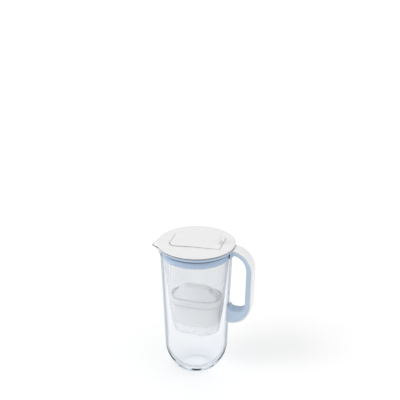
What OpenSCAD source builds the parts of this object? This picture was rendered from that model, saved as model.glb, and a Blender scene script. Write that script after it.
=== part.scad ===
// Glass water filter pitcher: jug, grip handle, collar, frosted funnel, filter cartridge and flip lid.
// Millimetres. The jug stands on z = 0, its axis is Z, the handle is on +X and the spout on -X.

/* [Jug] */
// Outer radius of the glass at the rim
jug_r = 64.1; // [61:0.1:68]
// Height of the glass rim above the table
jug_h = 244.8; // [235:0.1:260]
// Thickness of the glass wall
glass_wall = 2.25; // [1.8:0.05:2.8]
// Thickness of the glass floor
glass_floor = 7; // [5:0.5:10]
// How much the wall narrows from the neck to the bottom curve
jug_taper = 6.4; // [5:0.1:8]
// Radius of the curve between wall and floor
jug_corner_r = 45; // [40:1:48]
// Height of the straight neck that the collar fits in
neck_h = 24; // [22:0.5:34]
// Radius of the flat ring that the jug stands on
foot_r = 27; // [24:0.5:32]
// Width of the foot ring
foot_w = 5; // [3:0.5:6]
// Depth of the groove inside the foot ring
foot_groove = 1; // [0.6:0.1:2]

/* [Spout] */
// How far the spout tip reaches past the rim
spout_reach = 20; // [14:0.5:24]
// Drop of the spout tip below the rim
spout_drop = 8; // [5:0.5:12]
// Depth of the spout below the rim
spout_depth = 29; // [26:0.5:34]
// Half of the angle that the spout takes from the rim, in degrees
spout_half_angle = 25; // [20:1:30]
// Radius of the rounded spout tip
spout_tip_r = 4; // [3.4:0.1:5]

/* [Handle] */
// Width of the handle along Y
handle_w = 25; // [21:0.5:28]
// Distance from the glass to the handle's outer face
handle_out = 41.3; // [37:0.1:47]
// How far the handle's top stands above the glass rim
handle_rise = 6.4; // [4.8:0.1:6.7]
// Height of the handle from its top to its lowest point
handle_l = 146.6; // [140:0.1:153]
// Thickness of the hard outer shell
handle_shell_t = 2.8; // [2:0.1:3.5]
// Thickness of the soft grip at the back of the finger gap
grip_t = 9.2; // [7.5:0.1:10.5]
// Thickness of the grip at its top
grip_top_t = 8.4; // [7:0.1:10]
// Thickness of the grip at its bottom
grip_bottom_t = 22.6; // [18:0.1:26]
// Rounding of the grip's lower inner corner
grip_corner_r = 14; // [10:0.5:17]
// Height of the upper bend
handle_bend_top = 43; // [36:0.5:46]
// Height of the lower bend
handle_bend_low = 41; // [34:0.5:44]
// How far the handle's back leans in towards the bottom
handle_lean = 1.2; // [0:0.1:3]
// Rounding of the grip's upper inner corner
grip_bend_r = 29.5; // [22:0.5:32]
// Thickness of the adhesive pads between handle and glass
pad_t = 1; // [0.7:0.1:1.4]

/* [Collar] */
// How far the collar flange reaches past the glass
collar_over = 3.3; // [2.6:0.1:4.2]
// Thickness of the collar flange
collar_flange_t = 4.2; // [3.4:0.1:5]
// Length of the collar neck inside the jug
collar_neck_h = 15.4; // [13:0.1:17]
// Thickness of the collar neck
collar_wall = 1.1; // [0.9:0.05:1.4]
// Height of the sealing ribs above the neck
rib_h = 0.8; // [0.5:0.05:1]

/* [Funnel] */
// How far the funnel flange reaches past the collar flange
funnel_over = 1.6; // [1:0.1:2.4]
// Thickness of the funnel flange
funnel_flange_t = 2.4; // [2:0.1:3]
// Full depth of the funnel
funnel_h = 176; // [170:0.5:182]
// Thickness of the funnel wall
funnel_wall = 1.1; // [0.9:0.05:1.3]
// Height of the bead round the funnel band
bead_h = 0.55; // [0.3:0.05:0.7]
// Depth of the bead below the flange top
bead_drop = 22.8; // [21.5:0.1:24]
// Length of the round band below the flange
band_h = 28; // [26:0.5:30]
// Height of the cartridge ledge above the funnel's underside
ledge_h = 60; // [57:0.5:64]
// Thickness of the cartridge ledge
ledge_t = 1.6; // [1.2:0.1:2.2]
// Height of the post in the funnel floor
post_h = 20; // [18:0.5:24]
// Radius of the post
post_r = 7.6; // [6.5:0.1:8]
// Radius of each outlet hole
outlet_r = 2.4; // [1.8:0.1:2.8]
// Number of outlet holes
outlet_count = 8; // [6:1:10]

/* [Cartridge] */
// Half length of the cartridge band
cart_a = 49.1; // [48:0.1:49.8]
// Half width of the cartridge band
cart_b = 31; // [30:0.1:31.6]
// Height of the cartridge band
cart_band_h = 10.8; // [9:0.1:12]
// Depth of the cartridge body below its band
cart_body_h = 45; // [42:0.5:47]
// Inset of the body from the band
cart_step = 3.2; // [2.8:0.1:3.6]
// How much the body narrows down to its bottom
cart_draft = 3; // [2:0.1:4]
// Wall of the cartridge housing
cart_wall = 1.5; // [1.2:0.1:1.8]
// Height of the cap's dome
cap_h = 16.5; // [14:0.5:18]
// Thickness of the seal under the band
seal_t = 1.2; // [0.8:0.1:1.6]
// Radius of the well that the post enters
well_r = 8.6; // [8.3:0.1:9.4]
// Depth of the well
well_h = 22; // [20:0.5:26]
// Distance from the cartridge's middle to the pull ring's pin
pull_x = 35.8; // [35:0.1:36.4]
// Outer radius of the pull ring
pull_r = 5.6; // [5:0.1:5.8]
// Thickness of the pull ring
pull_t = 2; // [1.6:0.1:2.4]

/* [Lid] */
// How far the lid reaches past the funnel flange
lid_over = 0.6; // [0.2:0.1:1.4]
// Thickness of the lid's edge
lid_edge_t = 2.2; // [1.8:0.1:3]
// Rise of the lid's dome above its edge
lid_dome_h = 2.6; // [1.5:0.1:4]
// Thickness of the lid's top
lid_t = 2; // [1.6:0.1:2.4]
// Depth of the skirt below the edge
skirt_h = 9.8; // [8.5:0.1:11]
// Thickness of the skirt
skirt_t = 1.6; // [1.3:0.1:2]
// Length of the spring tongue beside the handle
tongue_h = 16.9; // [14:0.1:19]
// Width of the spring tongue
tongue_w = 15; // [11:0.5:18]

/* [Flap] */
// Distance from the axis to the flap's spout end
flap_front = 44; // [42:0.5:46]
// Distance from the axis to the hinge pin
hinge_x = 46; // [45:0.1:47]
// Half width of the flap near the spout
flap_w1 = 31; // [28:0.5:34]
// Half width of the flap at the hinge
flap_w2 = 24; // [21:0.5:26]
// Corner rounding of the flap near the spout
flap_corner = 14; // [10:0.5:18]
// Gap round the flap
flap_gap = 0.6; // [0.4:0.05:1]
// Radius of the hinge barrel
barrel_r = 2.3; // [2.1:0.05:2.6]
// Radius of the hinge pin
pin_r = 1.2; // [1:0.05:1.3]
// Height of the thumb lever above the flap
lever_h = 19.4; // [16:0.1:22]
// Thickness of the thumb lever at its foot
lever_t = 4.8; // [4:0.1:5.4]
// Width of the thumb lever at its foot
lever_w = 13; // [10:0.5:15]

/* [Indicator] */
// Distance from the indicator to the skirt's outside
ind_side = 4.5; // [4.1:0.1:4.9]
// Outer radius of the indicator housing
ind_r = 15.5; // [15:0.1:15.8]
// Height of the indicator housing
ind_h = 17; // [15:0.5:19]
// Wall of the indicator housing
ind_wall = 1.4; // [1.1:0.1:1.8]
// Radius of the raised top
ind_top_r = 13; // [12:0.1:13.5]
// Height of the raised top
ind_top_h = 2; // [1.4:0.1:2.2]
// Radius of the light lens
lens_r = 3.9; // [3:0.1:4.6]
// Length of the dark window round the lens
bezel_l = 13.4; // [11:0.1:15]
// Width of the dark window round the lens
bezel_w = 9; // [8.4:0.1:10]
// Radius of the coin cell
cell_r = 10; // [8:0.5:11]
// Thickness of the coin cell
cell_t = 3.2; // [2:0.1:3.6]
// Depth of the circuit board below the housing's top
board_drop = 4.2; // [3.6:0.1:5]
// Width of the holder's arms and of its loop
arm_w = 7; // [5:0.5:9]
// Width of the holder's broad arm on the spout's side
arm_wide_w = 12; // [9:0.5:15]
// Depth of the holder's loop below the lid
loop_drop = 24; // [21:0.5:27]
// Length of the holder's loop
loop_l = 13.6; // [11:0.1:15]
// Thickness of the holder's bars
bar_t = 2.2; // [1.6:0.1:2.8]

/* [Fits] */
// Gap between nested pieces that slide in each other
fit_gap = 0.3; // [0.25:0.05:0.4]
// Gap where one loose piece rests on another
seat_gap = 0.3; // [0.2:0.05:0.4]
// Gap between fixed curved faces of one assembly
bond_gap = 0.05; // [0.03:0.01:0.08]
// Radial clearance of turning pins
pin_gap = 0.08; // [0.05:0.01:0.1]
// Half width of the gap in the flanges beside the handle
notch_side_gap = 0.8; // [0.6:0.1:1.5]

/* [Hidden] */

$fn = 96;
hull_fn = 48;   // segments of round shapes inside hulls
eps = 0.01;     // overlap that joins two shapes of one piece
cut = 1;        // how far a cutting shape runs past the face it opens

// Radii of the nest, from the glass inwards
jug_bore_r = jug_r - glass_wall;
rib_r = jug_bore_r - fit_gap;
neck_r = rib_r - rib_h;
collar_bore_r = neck_r - collar_wall;
bead_r = collar_bore_r - fit_gap;
band_r = bead_r - bead_h;
funnel_bore_r = band_r - funnel_wall;
skirt_r = funnel_bore_r - fit_gap;

ind_x = skirt_r - ind_r - ind_side;    // distance from the axis to the indicator's centre

// Reach and heights of the handle
handle_reach = jug_r + handle_out;
handle_top = jug_h + handle_rise;
handle_bottom = handle_top - handle_l;

// Outer radii of the stacked flanges and the lid
collar_flange_r = jug_r + collar_over;
funnel_flange_r = collar_flange_r + funnel_over;
lid_r = funnel_flange_r + lid_over;

// Heights of the stack, from the rim upwards
neck_z = jug_h - neck_h;
foot_angle = acos((foot_r - jug_corner_x()) / jug_corner_r);   // where the bottom curve ends at the foot
corner_lift = jug_corner_r * sin(foot_angle);                  // height of the bottom curve's centre
collar_z = jug_h + seat_gap;
collar_top = collar_z + collar_flange_t;
funnel_flange_z = collar_top + seat_gap;
funnel_top = funnel_flange_z + funnel_flange_t;
funnel_z = funnel_top - funnel_h;
lid_z = funnel_top + seat_gap;
lid_rim_z = lid_z + lid_edge_t;
ledge_z = funnel_z + ledge_h;
band_z = ledge_z + seat_gap + seal_t;
band_top = band_z + cart_band_h;
cart_z = band_z - cart_body_h;

// Radius where the wall meets the bottom curve, and the curve's centre
function jug_low_r() = jug_r - jug_taper;
function jug_corner_x() = jug_low_r() - jug_corner_r;

// Points of a circular arc in the r-z plane, from angle a to angle b
function arc(cx, cz, r, a, b, n = 16) =
    [for (i = [0:n]) [cx + r * cos(a + (b - a) * i / n), cz + r * sin(a + (b - a) * i / n)]];

// Points of an elliptic arc with half axes rx and rz
function oval(cx, cz, rx, rz, a, b, n = 16) =
    [for (i = [0:n]) [cx + rx * cos(a + (b - a) * i / n), cz + rz * sin(a + (b - a) * i / n)]];

// A plate with straight sides and round ends: half length a, half width b
module stadium(a, b) {
    translate([b - a, 0]) circle(r = b);
    translate([a - b, 0]) circle(r = b);
    translate([b - a, -b]) square([2 * (a - b), 2 * b]);
}

// One thin level of a lofted stadium, used inside hulls
module level(a, b, z, t = 0.02) {
    for (x = [b - a, a - b])
        translate([x, 0, z]) cylinder(r = b, h = t, $fn = hull_fn);
}

// ---------------------------------------------------------------- jug

groove_r = foot_r - foot_w;

module glass_body() {
    rotate_extrude()
        polygon(concat(
            [[0, 0], [groove_r - 6, 0], [groove_r - 5, foot_groove], [groove_r - 1, foot_groove],
             [groove_r, 0], [foot_r, 0]],
            arc(jug_corner_x(), corner_lift, jug_corner_r, -foot_angle, 0, 20),
            [[jug_r, neck_z], [jug_r, jug_h], [0, jug_h]]));
}

module glass_space() {
    low_r = jug_low_r() - glass_wall;
    inner_r = jug_corner_r - glass_wall;
    drop = corner_lift - glass_floor;
    rotate_extrude()
        polygon(concat(
            [[0, glass_floor]],
            oval(low_r - inner_r, corner_lift, inner_r, drop, -90, 0, 20),
            [[jug_bore_r, neck_z], [jug_bore_r, jug_h + cut], [0, jug_h + cut]]));
}

// Part of the rim that the spout grows from
module rim_patch(r, z, h) {
    chord = r * sin(spout_half_angle);
    intersection() {
        translate([0, 0, z]) cylinder(r = r, h = h, $fn = hull_fn * 2);
        translate([-r - cut, -chord, z]) cube([r + cut - r * cos(spout_half_angle), 2 * chord, h]);
    }
}

spout_tip_x = -(jug_r + spout_reach - spout_tip_r);
spout_tip_z = jug_h - spout_drop - spout_tip_r;
spout_root_r = 2.4;                    // rounding at the spout's lower end
patch_in = 0.5;                        // the rim patches lie inside the walls by this much

module spout_outside() {
    hull() {
        rim_patch(jug_r - patch_in, jug_h - 1, 1);
        translate([spout_tip_x, 0, spout_tip_z]) sphere(r = spout_tip_r, $fn = 32);
        translate([spout_root_r + patch_in - jug_r, 0, jug_h - spout_depth]) sphere(r = spout_root_r, $fn = 24);
    }
}

module spout_inside() {
    inner_tip_r = spout_tip_r - 0.8 * glass_wall;
    hull() {
        rim_patch(jug_bore_r - patch_in, jug_h - 1, 4);
        for (lift = [0.6, spout_drop])
            translate([spout_tip_x, 0, spout_tip_z + lift]) sphere(r = inner_tip_r, $fn = 32);
        translate([spout_root_r + patch_in - jug_bore_r, 0, jug_h - spout_depth + 1.3 * glass_wall])
            sphere(r = spout_root_r, $fn = 24);
    }
}

module glass_jug() {
    color([0.80, 0.88, 0.93, 0.35])
        difference() {
            union() {
                glass_body();
                spout_outside();
            }
            glass_space();
            spout_inside();
        }
}

// ---------------------------------------------------------------- handle

grip_x = jug_r + 1.9;                          // where the handle's bends begin
root_x = jug_low_r() - 8;                      // the outlines start inside the glass and are cut there
shell_top_z = handle_top - handle_bend_top;
shell_low_z = handle_bottom + handle_bend_low;
low_reach = handle_reach - handle_lean;
gap_top = handle_top - handle_shell_t - grip_top_t;
gap_low = handle_bottom + handle_shell_t + grip_bottom_t;

// Side view of the handle down to its back face, drawn in from the outer face by t
module handle_outline(t) {
    polygon(concat(
        [[root_x, handle_bottom + t]],
        oval(grip_x, shell_low_z, low_reach - grip_x - t, shell_low_z - handle_bottom - t, -90, 0, 14),
        oval(grip_x, shell_top_z, handle_reach - grip_x - t, handle_top - shell_top_z - t, 0, 90, 14),
        [[root_x, handle_top - t]]));
}

// Side view of the gap for the fingers
module finger_gap() {
    back = handle_shell_t + grip_t;
    low_back = low_reach - back;
    top_back = handle_reach - back;
    polygon(concat(
        [[root_x, gap_low]],
        oval(low_back - grip_corner_r, gap_low + grip_corner_r, grip_corner_r, grip_corner_r, -90, 0, 8),
        oval(grip_x, gap_top - grip_bend_r, top_back - grip_x, grip_bend_r, 0, 90, 12),
        [[root_x, gap_top]]));
}

// Extrudes a side view along Y, centred
module across(w) {
    translate([0, w / 2, 0]) rotate([90, 0, 0]) linear_extrude(height = w) children();
}

// The glass with an allowance, taken away from what is bonded to it
module glass_cutter(gap) {
    rotate_extrude()
        polygon([[0, corner_lift], [jug_low_r() + gap, corner_lift], [jug_r + gap, neck_z],
                 [jug_r + gap, handle_top + cut], [0, handle_top + cut]]);
}

module handle_shell() {
    step_x = collar_flange_r + 2;      // the flanges end just before this step
    step_h = 1;
    color("white")
        difference() {
            across(handle_w) difference() {
                handle_outline(0);
                handle_outline(handle_shell_t);
            }
            glass_cutter(pad_t + 2 * bond_gap);
            // Low step where the shell meets the rim
            translate([root_x, -handle_w, handle_top - step_h])
                cube([step_x - root_x, 2 * handle_w, step_h + cut]);
        }
}

module handle_grip() {
    color([0.72, 0.80, 0.91])
        difference() {
            across(handle_w - 1) difference() {
                handle_outline(handle_shell_t + bond_gap);
                finger_gap();
            }
            glass_cutter(pad_t + 2 * bond_gap);
        }
}

module handle_bond_pads() {
    pad_w = handle_w - 4;
    pad_l = handle_reach - root_x;
    pad_low = handle_bottom + 1;
    pad_top = jug_h - 0.4;
    color([0.62, 0.72, 0.85])
        difference() {
            intersection() {
                union() {
                    translate([root_x, -pad_w / 2, gap_top]) cube([pad_l, pad_w, pad_top - gap_top]);
                    translate([root_x, -pad_w / 2, pad_low]) cube([pad_l, pad_w, gap_low - pad_low]);
                }
                glass_cutter(pad_t + bond_gap);
            }
            glass_cutter(bond_gap);
        }
}

// ---------------------------------------------------------------- collar and funnel

notch_x = jug_r - 0.7;
notch_w = handle_w / 2 + notch_side_gap;

// Gap beside the handle in a flange
module handle_notch(z, h) {
    translate([notch_x, -notch_w, z - cut]) cube([lid_r, 2 * notch_w, h + 2 * cut]);
}

module collar_ring() {
    bottom = jug_h - collar_neck_h;
    edge = 1.2;
    rib_w = 3.4;
    rib_pitch = 5.8;
    color([0.72, 0.80, 0.91])
        difference() {
            union() {
                rotate_extrude()
                    polygon([
                        [collar_bore_r, bottom + 0.6], [collar_bore_r + 0.5, bottom], [neck_r, bottom],
                        [neck_r, collar_z], [collar_flange_r - edge, collar_z],
                        [collar_flange_r, collar_z + edge], [collar_flange_r, collar_top - edge],
                        [collar_flange_r - edge, collar_top], [collar_bore_r + edge, collar_top],
                        [collar_bore_r, collar_top - edge]]);
                for (z = [bottom + edge / 3, bottom + edge / 3 + rib_pitch])
                    rotate_extrude()
                        polygon([[neck_r - eps, z], [neck_r, z], [rib_r, z + 1], [rib_r, z + rib_w - 1],
                                 [neck_r, z + rib_w], [neck_r - eps, z + rib_w]]);
            }
            handle_notch(collar_z, collar_flange_t);
        }
}

// Half lengths, half widths and heights of the funnel's stadium levels, above its underside
cart_room = 0.9;                       // room between the cartridge band and the funnel's wall
floor_round = 6;                       // rounding of the funnel's lower edge
funnel_a = cart_a + cart_room + funnel_wall;
funnel_b = cart_b + cart_room + funnel_wall;
low_a = cart_a - cart_step - cart_draft + 1.6;
low_b = cart_b - cart_step - cart_draft + 3.2;
loft_top = funnel_h - band_h;

module funnel_lower(inset, lift) {
    hull() {
        level(low_a - floor_round - inset, low_b - floor_round - inset, funnel_z + lift);
        level(low_a - 0.37 * floor_round - inset, low_b - 0.37 * floor_round - inset,
              funnel_z + lift + 0.57 * floor_round);
        level(low_a - inset, low_b - inset, funnel_z + lift + 2 * floor_round);
        level(funnel_a - inset, funnel_b - inset, ledge_z);
    }
}

module funnel_upper(inset, over) {
    hull() {
        level(funnel_a - inset, funnel_b - inset, ledge_z - over);
        translate([0, 0, funnel_z + loft_top]) cylinder(r = band_r - inset, h = over + 0.02, $fn = hull_fn * 2);
    }
}

module funnel() {
    post_foot = 5;
    post_wall = 1.6;
    root_r = band_r - funnel_wall / 3;     // bead and flange start inside the band's wall
    bead_z = funnel_top - bead_drop;
    color([0.93, 0.95, 0.97, 0.45])
        difference() {
            union() {
                difference() {
                    union() {
                        funnel_lower(0, 0);
                        funnel_upper(0, 0);
                        translate([0, 0, funnel_z + loft_top]) cylinder(r = band_r, h = band_h);
                        rotate_extrude()
                            polygon([[root_r, bead_z - 1.6], [bead_r, bead_z - 0.5],
                                     [bead_r, bead_z + 0.5], [root_r, bead_z + 1.6]]);
                        rotate_extrude()
                            polygon([[root_r, funnel_flange_z], [funnel_flange_r - 0.8, funnel_flange_z],
                                     [funnel_flange_r, funnel_flange_z + 0.8],
                                     [funnel_flange_r, funnel_top - 0.5], [funnel_flange_r - 0.5, funnel_top],
                                     [root_r, funnel_top]]);
                    }
                    funnel_lower(funnel_wall, funnel_wall + 0.2);
                    funnel_upper(funnel_wall, 0.01);
                    translate([0, 0, funnel_z + loft_top]) cylinder(r = funnel_bore_r, h = band_h + cut);
                }
                // Ledge that carries the cartridge
                translate([0, 0, ledge_z - ledge_t])
                    linear_extrude(height = ledge_t) difference() {
                        stadium(funnel_a - funnel_wall / 2, funnel_b - funnel_wall / 2);
                        stadium(cart_a - cart_step + 0.8, cart_b - cart_step + 0.8);
                    }
                // Post with a flared foot
                translate([0, 0, funnel_z]) rotate_extrude()
                    polygon([[0, 0.4], [post_r + post_foot, 0.4], [post_r + post_foot, 1.6],
                             [post_r + 2, 3], [post_r + 0.6, 6], [post_r, post_h - 1.5],
                             [post_r - 1.5, post_h], [0, post_h]]);
            }
            // The post is hollow from below, and water leaves through the holes round its foot
            translate([0, 0, funnel_z - cut]) cylinder(r = post_r - post_wall, h = post_h + cut - post_wall);
            for (i = [0:outlet_count - 1])
                rotate([0, 0, (i + 0.5) * 360 / outlet_count])
                    translate([post_r + post_foot + outlet_r + 0.8, 0, funnel_z - cut])
                        cylinder(r = outlet_r, h = 6);
            handle_notch(funnel_flange_z, funnel_flange_t);
        }
}

// ---------------------------------------------------------------- cartridge

cart_round = 3.4;                      // rounding of the cartridge's lower edge
body_a = cart_a - cart_step;
body_b = cart_b - cart_step + 0.7;
cap_a = cart_a - cart_wall - bond_gap;
cap_b = cart_b - cart_wall - bond_gap;
dome_a = cart_a - 8.3;                 // half length of the dome's foot
dome_b = cart_b - 3.5;
dome_top_a = 21.5;                     // half length of the dome's flat top
dome_top_b = 8.5;
slope = atan(cap_h / (dome_a - dome_top_a));
slope_run = (dome_a - dome_top_a) / cap_h;

module cartridge_body(inset, lift, top) {
    hull() {
        level(body_a - cart_draft - cart_round - inset, body_b - cart_draft - cart_round - inset, cart_z + lift);
        level(body_a - cart_draft - inset, body_b - cart_draft - inset, cart_z + 1.5 * cart_round + lift);
        level(body_a - inset, body_b - inset, top - 0.02);
    }
}

well_wall = 1.2;

module cartridge_housing() {
    slot_count = 12;
    slot_w = 1.6;
    color([0.93, 0.94, 0.94])
        difference() {
            union() {
                difference() {
                    union() {
                        cartridge_body(0, 0, band_z + 0.5);
                        translate([0, 0, band_z]) linear_extrude(height = cart_band_h) stadium(cart_a, cart_b);
                    }
                    cartridge_body(cart_wall, cart_wall, band_z + cart_wall + 0.02);
                    translate([0, 0, band_z + cart_wall])
                        linear_extrude(height = cart_band_h) stadium(cart_a - cart_wall, cart_b - cart_wall);
                }
                translate([0, 0, cart_z]) cylinder(r = well_r + well_wall, h = well_h + well_wall);
            }
            translate([0, 0, cart_z - cut]) cylinder(r = well_r, h = well_h + cut);
            for (i = [0:slot_count - 1])
                rotate([0, 0, (i + 0.5) * 360 / slot_count])
                    translate([well_r + 3, -slot_w / 2, cart_z - cut]) cube([6, slot_w, cart_wall + 2 * cut]);
        }
}

module dome(inset, drop) {
    hull() {
        level(dome_a - inset, dome_b - inset, band_top - 0.02 - drop);
        level(dome_top_a + 2 - inset, dome_top_b + 2 - inset, band_top + cap_h - 1.4 - drop);
        level(dome_top_a - inset, dome_top_b - inset, band_top + cap_h - 0.02 - drop);
    }
}

window_in = 24;                        // the inlet windows on the dome's end slopes
window_out = 32.6;
window_w = 13;
mesh_t = 0.9;
dome_wall = 1.4;

// Slab on an end slope of the dome: from x0 to x1, w wide, between heights h0 and h1 above the slope
module on_slope(side, x0, x1, w, h0, h1) {
    z0 = band_top + (dome_a - x0) / slope_run;
    mirror([side < 0 ? 1 : 0, 0, 0])
        translate([x0, 0, z0]) rotate([0, slope, 0])
            translate([0, -w / 2, h0]) cube([(x1 - x0) / cos(slope), w, h1 - h0]);
}

ring_lift = 1.8;                       // pull ring pin above the cap's plate

// Puts a shape drawn at the pull ring's pin in its place
module at_ring() {
    translate([pull_x, 0, band_top + ring_lift]) children();
}

ear_in = 4.8;                          // the pull ring's ears reach from here to there along Y
ear_out = 6.2;
ear_r = 1.9;
ring_pin_r = 1;

module cartridge_cap() {
    plate_t = 1.5;
    pocket_x = pull_x - pull_t / 2 - 0.5;      // the pull ring lies in a pocket in the dome's foot
    pocket_w = 2 * ear_out + 2.4;
    color("white")
        difference() {
            union() {
                difference() {
                    union() {
                        translate([0, 0, band_top - plate_t]) linear_extrude(height = plate_t)
                            stadium(cap_a, cap_b);
                        dome(0, 0);
                    }
                    difference() {
                        dome(dome_wall, dome_wall);
                        translate([pocket_x - dome_wall, -pocket_w / 2 - dome_wall, band_top - plate_t])
                            cube([cart_a, pocket_w + 2 * dome_wall, cap_h]);
                    }
                    difference() {
                        translate([0, 0, band_top - plate_t - cut]) linear_extrude(height = plate_t + cut)
                            stadium(dome_a - 1.6, dome_b - 1.6);
                        translate([pocket_x - dome_wall, -pocket_w / 2 - dome_wall, band_top - plate_t - 2 * cut])
                            cube([cart_a, pocket_w + 2 * dome_wall, cap_h]);
                    }
                    translate([pocket_x, -pocket_w / 2, band_top]) cube([cart_a, pocket_w, cap_h]);
                }
                for (side = [-1, 1])
                    at_ring() translate([0, side * (ear_in + ear_out) / 2, 0]) {
                        rotate([90, 0, 0]) cylinder(r = ear_r, h = ear_out - ear_in, center = true);
                        translate([-ear_r, (ear_in - ear_out) / 2, -ring_lift - dome_wall / 2])
                            cube([2 * ear_r, ear_out - ear_in, ring_lift + dome_wall / 2]);
                    }
            }
            for (side = [-1, 1])
                on_slope(side, window_in, window_out, window_w, -5, 5);
            at_ring() rotate([90, 0, 0]) cylinder(r = ring_pin_r + pin_gap, h = 3 * ear_out, center = true);
        }
}

module cartridge_inlet_mesh() {
    color([0.55, 0.58, 0.60])
        for (side = [-1, 1])
            on_slope(side, window_in + bond_gap, window_out - bond_gap, window_w - 2 * bond_gap,
                     0.1 - dome_wall, 0.1 - dome_wall + mesh_t);
}

screen_t = 0.8;

module cartridge_outlet_screen() {
    floor_inset = cart_round + cart_wall;
    color([0.75, 0.77, 0.78])
        translate([0, 0, cart_z + cart_wall + bond_gap]) linear_extrude(height = screen_t) difference() {
            stadium(body_a - cart_draft - floor_inset - 0.4, body_b - cart_draft - floor_inset - 0.4);
            circle(r = well_r + well_wall + 0.1);
        }
}

module cartridge_filter_bed() {
    color([0.25, 0.24, 0.22])
        difference() {
            intersection() {
                cartridge_body(cart_wall + 0.3, cart_wall + 1, band_z + cart_wall);
                translate([-cart_a, -cart_b, cart_z + cart_wall + screen_t + 4 * bond_gap])
                    cube([2 * cart_a, 2 * cart_b, cart_body_h - 3]);
            }
            translate([0, 0, cart_z]) cylinder(r = well_r + well_wall + 0.1, h = well_h + well_wall + 0.1);
        }
}

module cartridge_seal() {
    color([0.80, 0.85, 0.90])
        translate([0, 0, band_z - seal_t]) linear_extrude(height = seal_t - 0.02) difference() {
            stadium(cart_a - 0.3, cart_b - 0.3);
            stadium(cart_a - cart_step + 0.9, cart_b - cart_step + 1.6);
        }
}

module cartridge_pull_ring() {
    hole_r = pull_r - pull_t;
    centre = pull_r + 0.7;
    color([0.90, 0.92, 0.93])
        at_ring() {
            rotate([90, 0, 0]) cylinder(r = ring_pin_r, h = 2 * ear_out, center = true);
            difference() {
                union() {
                    translate([centre, 0, -pull_t / 2]) cylinder(r = pull_r, h = pull_t);
                    translate([0, -pull_r / 2, -pull_t / 2]) cube([pull_t, pull_r, pull_t]);
                }
                translate([centre, 0, -pull_t]) cylinder(r = hole_r, h = 2 * pull_t);
            }
        }
}

// ---------------------------------------------------------------- lid

hinge_z = lid_rim_z + dome_rise(hinge_x) - barrel_r;

// Rise of the lid's top above its edge at radius r
function dome_rise(r) = lid_dome_h * (1 - pow(r / (lid_r - 3), 2));

// Solid below the lid's domed surface, sunk by d, out to radius r
module dome_solid(d, r, base) {
    n = 16;
    rotate_extrude()
        polygon(concat(
            [[0, base], [r, base]],
            [for (i = [n:-1:0]) [r * i / n, lid_rim_z + dome_rise(r * i / n) - d]]));
}

// Plan of the flap, grown by g, with its hinge end at x1
module flap_plan(g, x1) {
    hull() {
        for (side = [-1, 1]) {
            translate([-flap_front + flap_corner, side * (flap_w1 - flap_corner)])
                circle(r = flap_corner + g, $fn = hull_fn);
            translate([x1 - 3, side * (flap_w2 - 3)]) square([6, 6 + 2 * g], center = true);
        }
    }
}

tongue_gap = 1.8;                      // width of the slots beside the spring tongue
lug_angles = [-74, 74];
catch_angles = [-22.4, 22.4];
hinge_ear_w = 3.6;                     // width of the ears that hold the flap's pin
ledge_w = 3;                           // the ledge under the flap reaches this far past its edge

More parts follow.
